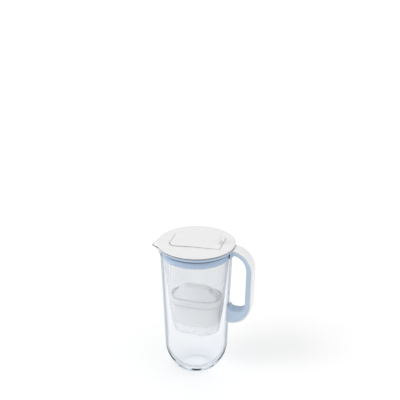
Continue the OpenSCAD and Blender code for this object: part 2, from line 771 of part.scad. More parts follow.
module lid_body() {
    inner_skirt_r = skirt_r - skirt_t;
    skirt_z = lid_z - skirt_h;
    recess_end = hinge_x + barrel_r + flap_gap;
    ear_y = flap_w2 + flap_gap;
    ear_half = 3.4;
    lid_drop = 8;                      // the shapes under the lid start this far below its edge
    color("white")
        difference() {
            union() {
                difference() {
                    union() {
                        dome_solid(0, lid_r - 3, lid_z);
                        rotate_extrude()
                            polygon([[skirt_r - 0.5, lid_z], [lid_r - 0.7, lid_z], [lid_r, lid_z + 0.7],
                                     [lid_r, lid_rim_z - 0.9], [lid_r - 0.9, lid_rim_z],
                                     [lid_r - 3.2, lid_rim_z], [skirt_r - 0.5, lid_rim_z]]);
                    }
                    dome_solid(lid_t, inner_skirt_r, lid_z - cut);
                    // Recess of the flap and the opening below it
                    translate([0, 0, lid_z - cut]) linear_extrude(height = skirt_h) flap_plan(flap_gap, recess_end);
                }
                rotate_extrude()
                    polygon([[inner_skirt_r, skirt_z + 0.5], [inner_skirt_r + 0.5, skirt_z],
                             [skirt_r - 0.8, skirt_z], [skirt_r, skirt_z + 1.2], [skirt_r, lid_z + 0.5],
                             [inner_skirt_r, lid_z + 0.5]]);
                // Ledge that the flap's edge rests on
                difference() {
                    intersection() {
                        translate([0, 0, lid_z - lid_drop]) linear_extrude(height = lid_drop + lid_dome_h)
                            flap_plan(ledge_w, hinge_x - 4);
                        dome_solid(lid_t - 0.4, lid_r - 3, lid_z - lid_drop);
                    }
                    dome_solid(lid_t + 1.5, lid_r - 3, lid_z - lid_drop - cut);
                    translate([0, 0, lid_z - lid_drop - cut]) linear_extrude(height = 2 * lid_drop)
                        flap_plan(-1.6, hinge_x + 9);
                    difference() {
                        translate([0, 0, lid_z - lid_drop / 2]) linear_extrude(height = 2 * lid_drop)
                            flap_plan(flap_gap, recess_end);
                        dome_solid(lid_t + seat_gap, lid_r - 3, lid_z - lid_drop);
                    }
                    translate([hinge_x - 9, -lid_r, lid_z - lid_drop]) cube([lid_r, 2 * lid_r, 2 * lid_drop]);
                }
                // Ears that hold the hinge pin
                intersection() {
                    for (side = [-1, 1])
                        translate([hinge_x - ear_half, side * (ear_y + hinge_ear_w / 2) - hinge_ear_w / 2,
                                   hinge_z - 3])
                            cube([2 * ear_half, hinge_ear_w, 6]);
                    dome_solid(0.5, lid_r - 3, lid_z - lid_drop);
                }
                // Spring tongue and the small lugs under the skirt
                intersection() {
                    translate([0, 0, lid_z - tongue_h]) rotate_extrude()
                        polygon([[inner_skirt_r, 0], [skirt_r - 0.7, 0], [skirt_r, 1], [skirt_r, tongue_h + 0.5],
                                 [inner_skirt_r, tongue_h + 0.5]]);
                    translate([skirt_r / 2, -tongue_w / 2, lid_z - tongue_h - cut])
                        cube([skirt_r, tongue_w, tongue_h + lid_edge_t]);
                }
                for (a = concat(lug_angles, catch_angles))
                    rotate([0, 0, a]) translate([inner_skirt_r + 0.2, -2.6, skirt_z - 1.6])
                        cube([skirt_t - 0.6, 5.2, 3]);
            }
            // Slots beside the tongue, notches over the catches, and the pin's bores
            for (side = [-1, 1])
                translate([skirt_r / 2, side * (tongue_w + tongue_gap) / 2 - tongue_gap / 2, skirt_z - cut])
                    cube([skirt_r, tongue_gap, skirt_h - 1 + cut]);
            for (a = catch_angles)
                rotate([0, 0, a]) translate([inner_skirt_r - 2, -3.4, skirt_z + 1.5]) cube([6, 6.8, 2.6]);
            translate([hinge_x, 0, hinge_z]) rotate([90, 0, 0])
                cylinder(r = pin_r + 0.02, h = 2 * (ear_y + hinge_ear_w) - 1.6, center = true);
        }
}

module flap_hinge_pin() {
    pin_l = 2 * (flap_w2 + flap_gap + hinge_ear_w) - 2;
    color([0.82, 0.84, 0.86])
        translate([hinge_x, 0, hinge_z]) rotate([90, 0, 0]) cylinder(r = pin_r, h = pin_l, center = true);
}

lever_x = hinge_x - 3.6;               // centre of the lever's foot
lever_pad_z = lid_rim_z + dome_rise(0) - 0.4;
peg_r = 1.5;
peg_y = 3.6;                           // half distance between the lever's pegs

module lid_flap() {
    barrel_l = 2 * (flap_w2 - 0.4);
    color("white")
        difference() {
            union() {
                intersection() {
                    difference() {
                        dome_solid(0, lid_r - 3, lid_z);
                        dome_solid(lid_t, lid_r - 2.9, lid_z - cut);
                    }
                    translate([0, 0, lid_z - 2]) linear_extrude(height = skirt_h) difference() {
                        flap_plan(0, hinge_x + 3);
                        translate([hinge_x, -lid_r]) square([lid_r, 2 * lid_r]);
                    }
                }
                translate([hinge_x, 0, hinge_z]) rotate([90, 0, 0]) cylinder(r = barrel_r, h = barrel_l, center = true);
                // Flat pad under the lever
                translate([lever_x - lever_t / 2 - 0.8, -lever_w / 2 - 0.8, lid_rim_z])
                    cube([lever_t + 1.6, lever_w + 1.6, lever_pad_z - lid_rim_z]);
            }
            translate([hinge_x, 0, hinge_z]) rotate([90, 0, 0])
                cylinder(r = pin_r + pin_gap, h = barrel_l + 2, center = true);
            for (side = [-1, 1])
                translate([lever_x - 1, side * peg_y, lid_z - cut]) cylinder(r = peg_r + bond_gap, h = 10);
        }
}

module flap_lever() {
    top_t = 2.6;
    top_w = 8.5;
    foot_z = lever_pad_z + 0.02;
    top_z = foot_z + lever_h;
    color("white") {
        hull() {
            translate([lever_x - lever_t / 2, -lever_w / 2 + 1, foot_z]) cube([lever_t, lever_w - 2, 0.5]);
            translate([lever_x - lever_t / 2 + 1, -lever_w / 2, foot_z]) cube([lever_t - 2, lever_w, 0.5]);
            for (side = [-1, 1])
                translate([lever_x + 0.6, side * (top_w - top_t) / 2, top_z - top_t / 2])
                    sphere(r = top_t / 2, $fn = 24);
        }
        for (side = [-1, 1])
            translate([lever_x - 1, side * peg_y, foot_z - 1.8]) cylinder(r = peg_r, h = 2);
    }
}

// ---------------------------------------------------------------- indicator

ind_top = lid_z - 0.4;                 // top of the raised platform
ind_shoulder = ind_top - ind_top_h;
ind_bottom = ind_shoulder - ind_h;
holder_gap = 0.3;
window_z = ind_top - 0.8;              // seat of the window frame and the lens

module at_indicator(z = 0) {
    translate([-ind_x, 0, z]) children();
}

module indicator_holder() {
    ring_r = ind_r + holder_gap;
    ring_t = 1.5;
    ring_h = 7;
    top = lid_z - 1;
    low = top - ring_h;
    loop_x = ring_r + ring_t - ind_x - 0.6;
    loop_z = lid_z - loop_drop;
    color("white")
        difference() {
            intersection() {
                union() {
                    at_indicator(low) cylinder(r = ring_r + ring_t, h = ring_h);
                    // Arms to the skirt
                    translate([-ind_x - arm_w / 2, -skirt_r, low]) cube([arm_w, 2 * skirt_r, bar_t]);
                    translate([-skirt_r, -arm_wide_w / 2, low])
                        cube([skirt_r - ind_x, arm_wide_w, ring_h - 1]);
                    // Loop at the inner side of the ring
                    translate([loop_x, -arm_w / 2, loop_z]) difference() {
                        cube([loop_l, arm_w, low + bar_t - loop_z]);
                        translate([bar_t, -cut, bar_t])
                            cube([loop_l - 2 * bar_t, arm_w + 2 * cut, low - bar_t - loop_z]);
                    }
                }
                translate([0, 0, loop_z]) cylinder(r = skirt_r - skirt_t - bond_gap, h = top - loop_z);
            }
            at_indicator(low - cut) cylinder(r = ring_r, h = ring_h + 2 * cut);
        }
}

stem_r = lens_r - 1.1;                 // the lens reaches the board's lamp through a hole in the top

module indicator_housing() {
    edge = 1;
    color("white")
        at_indicator() difference() {
            rotate_extrude()
                polygon([[0, ind_bottom], [ind_r - 0.5, ind_bottom], [ind_r, ind_bottom + 0.5],
                         [ind_r, ind_shoulder - edge], [ind_r - edge, ind_shoulder], [ind_top_r, ind_shoulder],
                         [ind_top_r, ind_top - 0.5], [ind_top_r - 0.5, ind_top], [0, ind_top]]);
            translate([0, 0, ind_bottom - cut])
                cylinder(r = ind_r - ind_wall, h = ind_h - ind_wall + cut);
            translate([0, 0, window_z]) linear_extrude(height = 5)
                stadium(bezel_l / 2 + bond_gap, bezel_w / 2 + bond_gap);
            translate([0, 0, ind_shoulder - ind_wall - cut]) cylinder(r = stem_r + 0.1, h = 10);
        }
}

module indicator_bezel() {
    color([0.13, 0.14, 0.13])
        at_indicator(window_z + 0.02) linear_extrude(height = 0.6) difference() {
            stadium(bezel_l / 2, bezel_w / 2);
            circle(r = lens_r + bond_gap);
        }
}

module indicator_lens() {
    lens_h = 2.2;
    flat = 0.9;
    stem_h = 3;
    bulge = (pow(lens_r, 2) + pow(lens_h - flat, 2)) / (2 * (lens_h - flat));
    color([0.62, 0.75, 0.20])
        at_indicator(window_z + 0.02) {
            cylinder(r = lens_r, h = flat);
            intersection() {
                translate([0, 0, lens_h - bulge]) sphere(r = bulge);
                translate([0, 0, flat - eps]) cylinder(r = lens_r, h = lens_h);
            }
            translate([0, 0, -stem_h]) cylinder(r = stem_r, h = stem_h + eps);
        }
}

board_z = ind_shoulder - ind_wall - board_drop;
board_t = 1.2;

module indicator_circuit_board() {
    board_r = ind_r - ind_wall - 0.4;
    key_w = 3;
    lamp = 3.6;
    leg_r = 1.1;
    color([0.12, 0.38, 0.24])
        at_indicator(board_z) {
            difference() {
                cylinder(r = board_r, h = board_t);
                translate([board_r - key_w / 2, -key_w / 2, -cut]) cube([key_w, key_w, board_t + 2 * cut]);
            }
            translate([-lamp / 2, -lamp / 2, board_t - eps]) cube([lamp, lamp, 1.2]);
            translate([4.6, -3, board_t - eps]) cube([4, 6, 1.4]);
            // Standing legs that seat the board against the housing's top
            for (a = [60, 180, 300])
                rotate([0, 0, a]) translate([board_r - 2, 0, board_t - eps])
                    cylinder(r = leg_r, h = ind_shoulder - ind_wall - board_z - board_t - bond_gap);
        }
}

module indicator_battery() {
    color([0.75, 0.76, 0.78])
        at_indicator(board_z - cell_t - bond_gap) {
            cylinder(r = cell_r, h = cell_t - 0.5);
            cylinder(r = cell_r - 0.8, h = cell_t);
        }
}

cover_t = 1.6;
cover_r = ind_r - ind_wall - 0.15;
spigot_r = cover_r - 1.4;              // the ring on the cover that the seal lies round

module indicator_base_cover() {
    spigot_h = 4.4;
    spigot_t = 1.2;
    slot_l = 10;                       // coin slot
    color([0.86, 0.88, 0.89])
        at_indicator(ind_bottom) difference() {
            union() {
                cylinder(r = cover_r, h = cover_t);
                difference() {
                    cylinder(r = spigot_r, h = spigot_h);
                    translate([0, 0, -cut]) cylinder(r = spigot_r - spigot_t, h = spigot_h + 2 * cut);
                }
                // Pillars that carry the coin cell
                for (a = [0, 120, 240])
                    rotate([0, 0, a]) translate([cell_r - 3, 0, 0])
                        cylinder(r = 1.4, h = board_z - cell_t - 2 * bond_gap - ind_bottom);
            }
            translate([-slot_l / 2, -0.9, -cut]) cube([slot_l, 1.8, 0.7 + cut]);
        }
}

module indicator_seal() {
    wire = 0.65;
    color([0.30, 0.32, 0.34])
        at_indicator(ind_bottom + cover_t + wire + 0.1)
            rotate_extrude() translate([spigot_r + wire + 0.03, 0]) circle(r = wire, $fn = 24);
}

glass_jug();
handle_shell();
handle_grip();
handle_bond_pads();
collar_ring();
funnel();
cartridge_housing();
cartridge_cap();
cartridge_inlet_mesh();
cartridge_filter_bed();
cartridge_outlet_screen();
cartridge_seal();
cartridge_pull_ring();
lid_body();
indicator_holder();
flap_hinge_pin();
lid_flap();
flap_lever();
indicator_housing();
indicator_bezel();
indicator_lens();
indicator_circuit_board();
indicator_battery();
indicator_seal();
indicator_base_cover();
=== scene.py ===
import math
import bmesh
import bpy
import numpy as np
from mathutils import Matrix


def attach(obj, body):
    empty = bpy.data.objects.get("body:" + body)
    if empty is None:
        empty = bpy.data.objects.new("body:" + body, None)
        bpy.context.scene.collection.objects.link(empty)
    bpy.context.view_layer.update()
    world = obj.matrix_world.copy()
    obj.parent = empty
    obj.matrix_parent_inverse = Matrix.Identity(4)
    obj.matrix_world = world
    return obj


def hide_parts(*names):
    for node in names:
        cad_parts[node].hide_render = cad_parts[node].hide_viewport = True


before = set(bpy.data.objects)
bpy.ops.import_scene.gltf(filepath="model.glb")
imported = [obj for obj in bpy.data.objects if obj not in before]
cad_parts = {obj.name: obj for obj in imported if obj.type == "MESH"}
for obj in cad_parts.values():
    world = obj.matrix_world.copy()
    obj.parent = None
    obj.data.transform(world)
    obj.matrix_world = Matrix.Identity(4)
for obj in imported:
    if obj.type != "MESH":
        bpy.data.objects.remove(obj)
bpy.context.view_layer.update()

scene = bpy.context.scene
mm = 0.001
fullTurn = 2 * math.pi


# curves and skins, all in millimetres

def roundedPath(corners, steps=5):
    # each corner is (x, y, radius); one with a radius becomes the curve (1-t)^2 a + 2t(1-t) corner + t^2 b,
    # with a and b where a circle of that radius touches the two sides, but at most 0.49 of a side away
    points = np.array([c[:2] for c in corners], float)
    out = [points[:1]]
    t = np.linspace(0, 1, steps + 1)[:, None]
    for last, here, following, corner in zip(points, points[1:], points[2:], corners[1:]):
        if corner[2] == 0:
            out.append(here[None])
            continue
        before, after = last - here, following - here
        lenBefore, lenAfter = np.linalg.norm(before), np.linalg.norm(after)
        before, after = before / lenBefore, after / lenAfter
        half = math.acos(np.clip(before @ after, -1, 1)) / 2
        run = min(corner[2] / math.tan(half), 0.49 * lenBefore, 0.49 * lenAfter)
        a, b = here + before * run, here + after * run
        out.append((1 - t) ** 2 * a + 2 * t * (1 - t) * here + t ** 2 * b)
    return np.vstack(out + [points[-1:]])


def arc(cx, cy, rx, ry, start, end, count):
    # an elliptic arc: x = cx + rx cos t, y = cy + ry sin t, with t in degrees
    t = np.radians(np.linspace(start, end, count))
    return np.stack([cx + rx * np.cos(t), cy + ry * np.sin(t)], -1)


def smoothStep(x, low, high):
    # 0 below low, 1 above high and 3t^2 - 2t^3 between them
    t = np.clip((x - low) / (high - low), 0, 1)
    return t * t * (3 - 2 * t)


def makePiece(name, points, faces, sharp=40):
    # the faces are turned outwards by the sign of the volume that they enclose
    mesh = bpy.data.meshes.new(name)
    mesh.from_pydata((points * mm).tolist(), [], faces)
    mesh.validate()
    mesh.calc_loop_triangles()
    tri = np.zeros(len(mesh.loop_triangles) * 3, int)
    mesh.loop_triangles.foreach_get("vertices", tri)
    a, b, c = (points[tri.reshape(-1, 3)[:, i]] for i in range(3))
    if np.einsum("ij,ij->i", a, np.cross(b, c)).sum() < 0:
        mesh.flip_normals()
    return placeMesh(name, mesh, sharp)


def placeMesh(name, mesh, sharp):
    # smooth shading, with the edges that turn by more than the angle kept crisp
    mesh.polygons.foreach_set("use_smooth", np.ones(len(mesh.polygons), bool))
    mesh.set_sharp_from_angle(angle=math.radians(sharp))
    piece = bpy.data.objects.new(name, mesh)
    scene.collection.objects.link(piece)
    return piece


def gridFaces(rows, cols, loopU, loopV, first=0):
    # a four-sided face between each point, its neighbour in the row and the two points above them
    r = np.arange(rows if loopV else rows - 1)[:, None]
    c = np.arange(cols if loopU else cols - 1)[None, :]
    right = (c + 1) % cols
    up = (r + 1) % rows
    quads = np.stack([r * cols + c, r * cols + right, up * cols + right, up * cols + c], -1)
    return (quads.reshape(-1, 4) + first).tolist()


def skin(name, grid, loopU=True, loopV=False, capLow=False, capHigh=False, sharp=40):
    # a grid of points, one row per section, as one piece
    points, faces = skinParts(grid, loopU, loopV, capLow, capHigh)
    return makePiece(name, points, faces, sharp)


def skinParts(grid, loopU=True, loopV=False, capLow=False, capHigh=False, first=0):
    # points and faces of a grid; a capped end is closed by a fan of triangles round the mean of its row
    rows, cols = grid.shape[:2]
    points = grid.reshape(-1, 3)
    faces = gridFaces(rows, cols, loopU, loopV, first)
    for wanted, row in ((capLow, 0), (capHigh, rows - 1)):
        if wanted:
            centre = first + len(points)
            ring = first + row * cols + np.arange(cols)
            nextRing = np.roll(ring, -1)
            a, b = (nextRing, ring) if row == 0 else (ring, nextRing)
            faces += np.stack([a, b, np.full(cols, centre)], -1).tolist()
            points = np.vstack([points, grid[row].mean(0)])
    return points, faces


def joinSkins(name, grids):
    # several skins, each capped at both ends, as one piece
    points, faces = [], []
    total = 0
    for grid in grids:
        morePoints, moreFaces = skinParts(grid, capLow=True, capHigh=True, first=total)
        points.append(morePoints)
        faces += moreFaces
        total += len(morePoints)
    return makePiece(name, np.vstack(points), faces)


def lathe(profile, angles):
    # a profile of (radius, height) turned about the jug's axis: x = r cos a, y = r sin a
    r, z = profile[:, :1], profile[:, 1:]
    return np.stack([r * np.cos(angles), r * np.sin(angles), z + 0 * angles], -1)


def stadium(a, b, u):
    # point at the share u of the way round a plate with straight sides and round ends, half length a and half
    # width b: x = straight + b cos t and y = b sin t on an end, y = b and x falling with the way on a side
    a, b = np.broadcast_arrays(a, b)
    straight = np.maximum(a - b, 0)
    quarter = straight + math.pi * b / 2
    s = (u % 1) * 4 * quarter
    side = np.floor(s / quarter).astype(int)
    t = s - side * quarter
    t = np.where(side % 2 == 0, t, quarter - t)        # way from the end's tip towards the middle of the side
    angle = np.minimum(t / b, math.pi / 2)
    x = straight + b * np.cos(angle) - np.maximum(t - math.pi * b / 2, 0)
    y = b * np.sin(angle)
    return np.where((side == 1) | (side == 2), -x, x), np.where(side >= 2, -y, y)


def evenAngles(count, dense=()):
    # angles round a turn, with extra ones in each (from, to, count) stretch, in degrees
    angles = [np.linspace(0, 360, count, endpoint=False)]
    angles += [np.linspace(a, b, n) % 360 for a, b, n in dense]
    return np.radians(np.unique(np.round(np.concatenate(angles), 4)))


def stack(levels, angles, ease=0):
    # one row of points for each (half length, half width, height); with ease, a long section's outline is the
    # mean of itself turned a little both ways, so that its round ends flow into its flat sides
    a, b, z = (np.array([row[k] for row in levels], float)[:, None] for k in range(3))
    share = (angles / fullTurn)[None, :]
    turns = np.linspace(-1, 1, 9)
    weights = np.cos(turns * math.pi / 2) ** 2
    long = np.clip((a - b) / 12, 0, 1)
    x, y = 0, 0
    for turn, weight in zip(turns, weights / weights.sum()):
        px, py = stadium(a, b, share + ease * long * turn)
        x, y = x + weight * px, y + weight * py
    return np.stack([x, y, z + 0 * x], -1)


def between(low, high, count):
    # straight steps from one level to the next, without the first
    return [tuple(row) for row in np.linspace(low, high, count + 1)[1:]]


def ringLevels(profile):
    # a profile of (radius, height) as round levels
    return [(r, r, z) for r, z in profile]


def roundFoot(a, b, z, radius, inset, steps=7, tall=2.0):
    # the lower edge as a quarter ellipse: in by radius (1 - sin t), up by tall times radius (1 - cos t)
    turn = np.linspace(0, math.pi / 2, steps)
    return [(a - inset - radius * (1 - math.sin(t)), b - inset - radius * (1 - math.sin(t)),
             z + tall * radius * (1 - math.cos(t))) for t in turn]


def blockCutter(points, low, high):
    # an outline in plan between two heights, as the rows of a cutter
    return np.array([np.column_stack([points, np.full(len(points), h)]) for h in (low, high)])


def plate(x0, x1, y0, y1):
    # the four corners of a rectangle in plan
    return np.array([[x0, y0], [x1, y0], [x1, y1], [x0, y1]], float)


def carve(piece, cutter, sharp=38):
    # takes the cutter's solids out of the piece for good
    tool = piece.modifiers.new("carve", "BOOLEAN")
    tool.object = cutter
    tool.solver = "EXACT"
    done = bpy.data.meshes.new_from_object(piece.evaluated_get(bpy.context.evaluated_depsgraph_get()))
    piece.modifiers.clear()
    piece.data = done
    done.polygons.foreach_set("use_smooth", np.ones(len(done.polygons), bool))
    done.set_sharp_from_angle(angle=math.radians(sharp))
    bpy.data.objects.remove(cutter)


def finishPiece(piece, body, slot, material, *nodes):
    # rides on its body and stands for its CAD nodes; the slot is not used
    piece.data.materials.clear()
    piece.data.materials.append(material)
    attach(piece, body)
    if nodes:
        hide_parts(*nodes)
    return piece


def dressNode(node, material):
    # a solid that is shown as it is gets its material, and its shape stays
    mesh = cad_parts[node].data
    mesh.materials.clear()
    mesh.materials.append(material)


# materials

# each shelter paints shade into the colour where ambient occlusion finds a narrow gap or a fold: its input,
# whether only the piece's own folds count, its reach in metres, and the openness at which nothing is darkened
# any more
grainAndShadeLook = {"fineDetail": 3, "broadScale": 18, "broadDetail": 4, "bump": 0.0002,
             # the shade tone is the colour towards which a piece's mask of painted shade darkens it
             "paintedShadeTone": (0.25, 0.28, 0.33),
             "shelters": (("CreviceShade", False, 0.004, 0.65), ("FoldShade", True, 0.006, 0.8))}
grainAndShadeInputs = (("Color", "NodeSocketColor", (0.8, 0.8, 0.8, 1)), ("Shade", "NodeSocketFloat", 0.03),
               ("Roughness", "NodeSocketFloat", 0.4), ("Spread", "NodeSocketFloat", 0.08),
               ("Scale", "NodeSocketFloat", 900), ("Depth", "NodeSocketFloat", 0.1),
               ("CreviceShade", "NodeSocketFloat", 0.5), ("FoldShade", "NodeSocketFloat", 0))
grainAndShadeOutputs = (("Color", "NodeSocketColor"), ("Roughness", "NodeSocketFloat"),
                ("Normal", "NodeSocketVector"))


def addNode(tree, kind, **settings):
    # a new node with its settings, such as the operation of a Math node
    node = tree.nodes.new(kind)
    for key, value in settings.items():
        setattr(node, key, value)
    return node


def grainAndShadeGroup():
    # fine moulding grain: a soft change of tone, a change of roughness and a shallow bump, all on Object
    # coordinates;
    # over it painted shade, which darkens narrow gaps by the crevice share and the piece's own folds by the
    # fold share
    tree = bpy.data.node_groups.new("grainAndPaintedShade", "ShaderNodeTree")
    face = tree.interface
    for name, kind, value in grainAndShadeInputs:
        socket = face.new_socket(name=name, in_out="INPUT", socket_type=kind)
        socket.default_value = value
    for name, kind in grainAndShadeOutputs:
        face.new_socket(name=name, in_out="OUTPUT", socket_type=kind)
    inside, outside = tree.nodes.new("NodeGroupInput"), tree.nodes.new("NodeGroupOutput")
    place = tree.nodes.new("ShaderNodeTexCoord")
    fine, broad = (tree.nodes.new("ShaderNodeTexNoise") for _ in range(2))
    fine.inputs["Detail"].default_value = grainAndShadeLook["fineDetail"]
    broad.inputs["Scale"].default_value = grainAndShadeLook["broadScale"]
    broad.inputs["Detail"].default_value = grainAndShadeLook["broadDetail"]
    shade = addNode(tree, "ShaderNodeMapRange")
    shade.inputs["To Min"].default_value = 1
    minus = addNode(tree, "ShaderNodeMath", operation="SUBTRACT")
    minus.inputs[0].default_value = 1
    darker = addNode(tree, "ShaderNodeMix", data_type="RGBA", blend_type="MULTIPLY")
    darker.inputs["Factor"].default_value = 1
    swing = addNode(tree, "ShaderNodeMath", operation="SUBTRACT")
    swing.inputs[1].default_value = 0.5
    rough = addNode(tree, "ShaderNodeMath", operation="MULTIPLY_ADD")
    bump = tree.nodes.new("ShaderNodeBump")
    bump.inputs["Distance"].default_value = grainAndShadeLook["bump"]
    shaded = []
    # painted shade: each ambient occlusion darkens the colour where it finds a narrow gap or a fold
    for share, local, distance, full in grainAndShadeLook["shelters"]:
        shelter = addNode(tree, "ShaderNodeAmbientOcclusion", samples=6, only_local=local)
        shelter.inputs["Distance"].default_value = distance
        openness = addNode(tree, "ShaderNodeMapRange")
        openness.inputs["From Max"].default_value = full
        openness.inputs["To Max"].default_value = 1
        lowest = addNode(tree, "ShaderNodeMath", operation="SUBTRACT")
        lowest.inputs[0].default_value = 1
        darkened = addNode(tree, "ShaderNodeMix", data_type="RGBA", blend_type="MULTIPLY")
        darkened.inputs["Factor"].default_value = 1
        tree.links.new(inside.outputs[share], lowest.inputs[1])
        tree.links.new(lowest.outputs[0], openness.inputs["To Min"])
        tree.links.new(shelter.outputs["AO"], openness.inputs["Value"])
        tree.links.new(openness.outputs["Result"], darkened.inputs["B"])
        shaded.append(darkened)
    link = tree.links.new
    for tex in (fine, broad):
        link(place.outputs["Object"], tex.inputs["Vector"])
    link(inside.outputs["Scale"], fine.inputs["Scale"])
    link(inside.outputs["Shade"], minus.inputs[1])
    link(minus.outputs[0], shade.inputs["To Max"])
    link(broad.outputs["Fac"], shade.inputs["Value"])
    link(inside.outputs["Color"], darker.inputs["A"])
    link(shade.outputs["Result"], darker.inputs["B"])
    link(darker.outputs["Result"], shaded[0].inputs["A"])
    link(shaded[0].outputs["Result"], shaded[1].inputs["A"])
    link(shaded[1].outputs["Result"], outside.inputs["Color"])
    link(fine.outputs["Fac"], swing.inputs[0])
    link(swing.outputs[0], rough.inputs[0])
    link(inside.outputs["Spread"], rough.inputs[1])
    link(inside.outputs["Roughness"], rough.inputs[2])
    link(rough.outputs[0], outside.inputs["Roughness"])
    link(fine.outputs["Fac"], bump.inputs["Height"])
    link(inside.outputs["Depth"], bump.inputs["Strength"])
    link(bump.outputs["Normal"], outside.inputs["Normal"])
    return tree


grainAndShade = grainAndShadeGroup()


def newMaterial(name):
    # an empty material with one Principled shader on its surface
    material = bpy.data.materials.new(name)
    material.use_nodes = True
    tree = material.node_tree
    tree.nodes.clear()
    shader = tree.nodes.new("ShaderNodeBsdfPrincipled")
    output = tree.nodes.new("ShaderNodeOutputMaterial")
    tree.links.new(shader.outputs[0], output.inputs["Surface"])
    return material, tree, shader, output


def addGrainAndShade(tree, shader, color, roughness, shade=0.03, spread=0.08, scale=900, depth=0.1, creviceShade=0.75,
             foldShade=0.0):
    # the moulding grain and its painted crevice and fold shade drive the shader's colour, roughness and
    # normal
    group = tree.nodes.new("ShaderNodeGroup")
    group.node_tree = grainAndShade
    values = {"Color": (*color, 1), "Shade": shade, "Roughness": roughness, "Spread": spread, "Scale": scale,
              "Depth": depth, "CreviceShade": creviceShade, "FoldShade": foldShade}
    for key, value in values.items():
        group.inputs[key].default_value = value
    # a piece may carry its own mask of painted shade, which darkens the colour towards the shade tone;
    # without one the colour stays
    mask = addNode(tree, "ShaderNodeAttribute", attribute_name="shade")
    toned = addNode(tree, "ShaderNodeMix", data_type="RGBA", blend_type="MULTIPLY")
    toned.inputs["B"].default_value = (*grainAndShadeLook["paintedShadeTone"], 1)
    tree.links.new(mask.outputs["Fac"], toned.inputs["Factor"])
    tree.links.new(group.outputs["Color"], toned.inputs["A"])
    tree.links.new(toned.outputs["Result"], shader.inputs["Base Color"])
    tree.links.new(group.outputs["Roughness"], shader.inputs["Roughness"])
    tree.links.new(group.outputs["Normal"], shader.inputs["Normal"])
    return group


def mouldedPlastic(name, color, roughness, gloss=0.45, metal=0.0, **grainAndShadeValues):
    # one colour with the moulding grain and painted crevice and fold shade; gloss is the specular level
    material, tree, shader, _ = newMaterial(name)
    addGrainAndShade(tree, shader, color, roughness, **grainAndShadeValues)
    shader.inputs["Specular IOR Level"].default_value = gloss
    shader.inputs["Metallic"].default_value = metal
    return material


def weaveGroup():
    # woven wire: the mask is 1 on wires that cross at the pitch along Object X and Y, 0 in the holes between
    tree = bpy.data.node_groups.new("wovenWire", "ShaderNodeTree")
    for name, value in (("Pitch", 0.0011), ("Wire", 0.45)):
        socket = tree.interface.new_socket(name=name, in_out="INPUT", socket_type="NodeSocketFloat")
        socket.default_value = value
    tree.interface.new_socket(name="Mask", in_out="OUTPUT", socket_type="NodeSocketFloat")
    inside, outside = tree.nodes.new("NodeGroupInput"), tree.nodes.new("NodeGroupOutput")
    place = tree.nodes.new("ShaderNodeTexCoord")
    split = tree.nodes.new("ShaderNodeSeparateXYZ")
    tree.links.new(place.outputs["Object"], split.inputs[0])
    both = addNode(tree, "ShaderNodeMath", operation="MAXIMUM")
    for k, axis in enumerate("XY"):
        count = addNode(tree, "ShaderNodeMath", operation="DIVIDE")
        share = addNode(tree, "ShaderNodeMath", operation="FRACT")
        wire = addNode(tree, "ShaderNodeMath", operation="LESS_THAN")
        tree.links.new(split.outputs[axis], count.inputs[0])
        tree.links.new(inside.outputs["Pitch"], count.inputs[1])
        tree.links.new(count.outputs[0], share.inputs[0])
        tree.links.new(share.outputs[0], wire.inputs[0])
        tree.links.new(inside.outputs["Wire"], wire.inputs[1])
        tree.links.new(wire.outputs[0], both.inputs[k])
    tree.links.new(both.outputs[0], outside.inputs["Mask"])
    return tree


def wireMesh(name, wireColor, holeColor, pitch, wire=0.45, roughness=0.45):
    # woven wires in one colour over holes in the other, with the pitch in metres
    material, tree, shader, _ = newMaterial(name)
    group = addGrainAndShade(tree, shader, wireColor, roughness, creviceShade=0)
    weave = tree.nodes.new("ShaderNodeGroup")
    weave.node_tree = woven
    weave.inputs["Pitch"].default_value = pitch
    weave.inputs["Wire"].default_value = wire
    mix = addNode(tree, "ShaderNodeMix", data_type="RGBA")
    mix.inputs["A"].default_value = (*holeColor, 1)
    tree.links.new(weave.outputs["Mask"], mix.inputs["Factor"])
    tree.links.new(group.outputs["Color"], mix.inputs["B"])
    tree.links.new(mix.outputs["Result"], shader.inputs["Base Color"])
    return material


def granules(name, dark, pale, size, roughness=0.85):
    # packed grains: each Voronoi cell has its own shade between the two, with a bump at the cell borders
    material, tree, shader, _ = newMaterial(name)
    place = tree.nodes.new("ShaderNodeTexCoord")
    cells = tree.nodes.new("ShaderNodeTexVoronoi")
    cells.inputs["Scale"].default_value = 1 / size
    shade = addNode(tree, "ShaderNodeMix", data_type="RGBA")
    shade.inputs["A"].default_value = (*dark, 1)
    shade.inputs["B"].default_value = (*pale, 1)
    split = tree.nodes.new("ShaderNodeSeparateColor")
    bump = tree.nodes.new("ShaderNodeBump")
    bump.inputs["Distance"].default_value = size / 3
    bump.invert = True
    tree.links.new(place.outputs["Object"], cells.inputs["Vector"])
    tree.links.new(cells.outputs["Color"], split.inputs[0])
    tree.links.new(split.outputs[0], shade.inputs["Factor"])
    tree.links.new(shade.outputs["Result"], shader.inputs["Base Color"])
    tree.links.new(cells.outputs["Distance"], bump.inputs["Height"])
    tree.links.new(bump.outputs["Normal"], shader.inputs["Normal"])
    shader.inputs["Roughness"].default_value = roughness
    return material


def letLampsThrough(tree, socket, output, share, color):
    # that share of the rays from lamps passes the piece, so that what it holds is lit
    path = tree.nodes.new("ShaderNodeLightPath")
    clear = tree.nodes.new("ShaderNodeBsdfTransparent")
    clear.inputs["Color"].default_value = (*color, 1)
    part = addNode(tree, "ShaderNodeMath", operation="MULTIPLY")
    part.inputs[1].default_value = share
    mix = tree.nodes.new("ShaderNodeMixShader")
    tree.links.new(path.outputs["Is Shadow Ray"], part.inputs[0])
    tree.links.new(part.outputs[0], mix.inputs[0])
    tree.links.new(socket, mix.inputs[1])
    tree.links.new(clear.outputs[0], mix.inputs[2])
    tree.links.new(mix.outputs[0], output.inputs["Surface"])


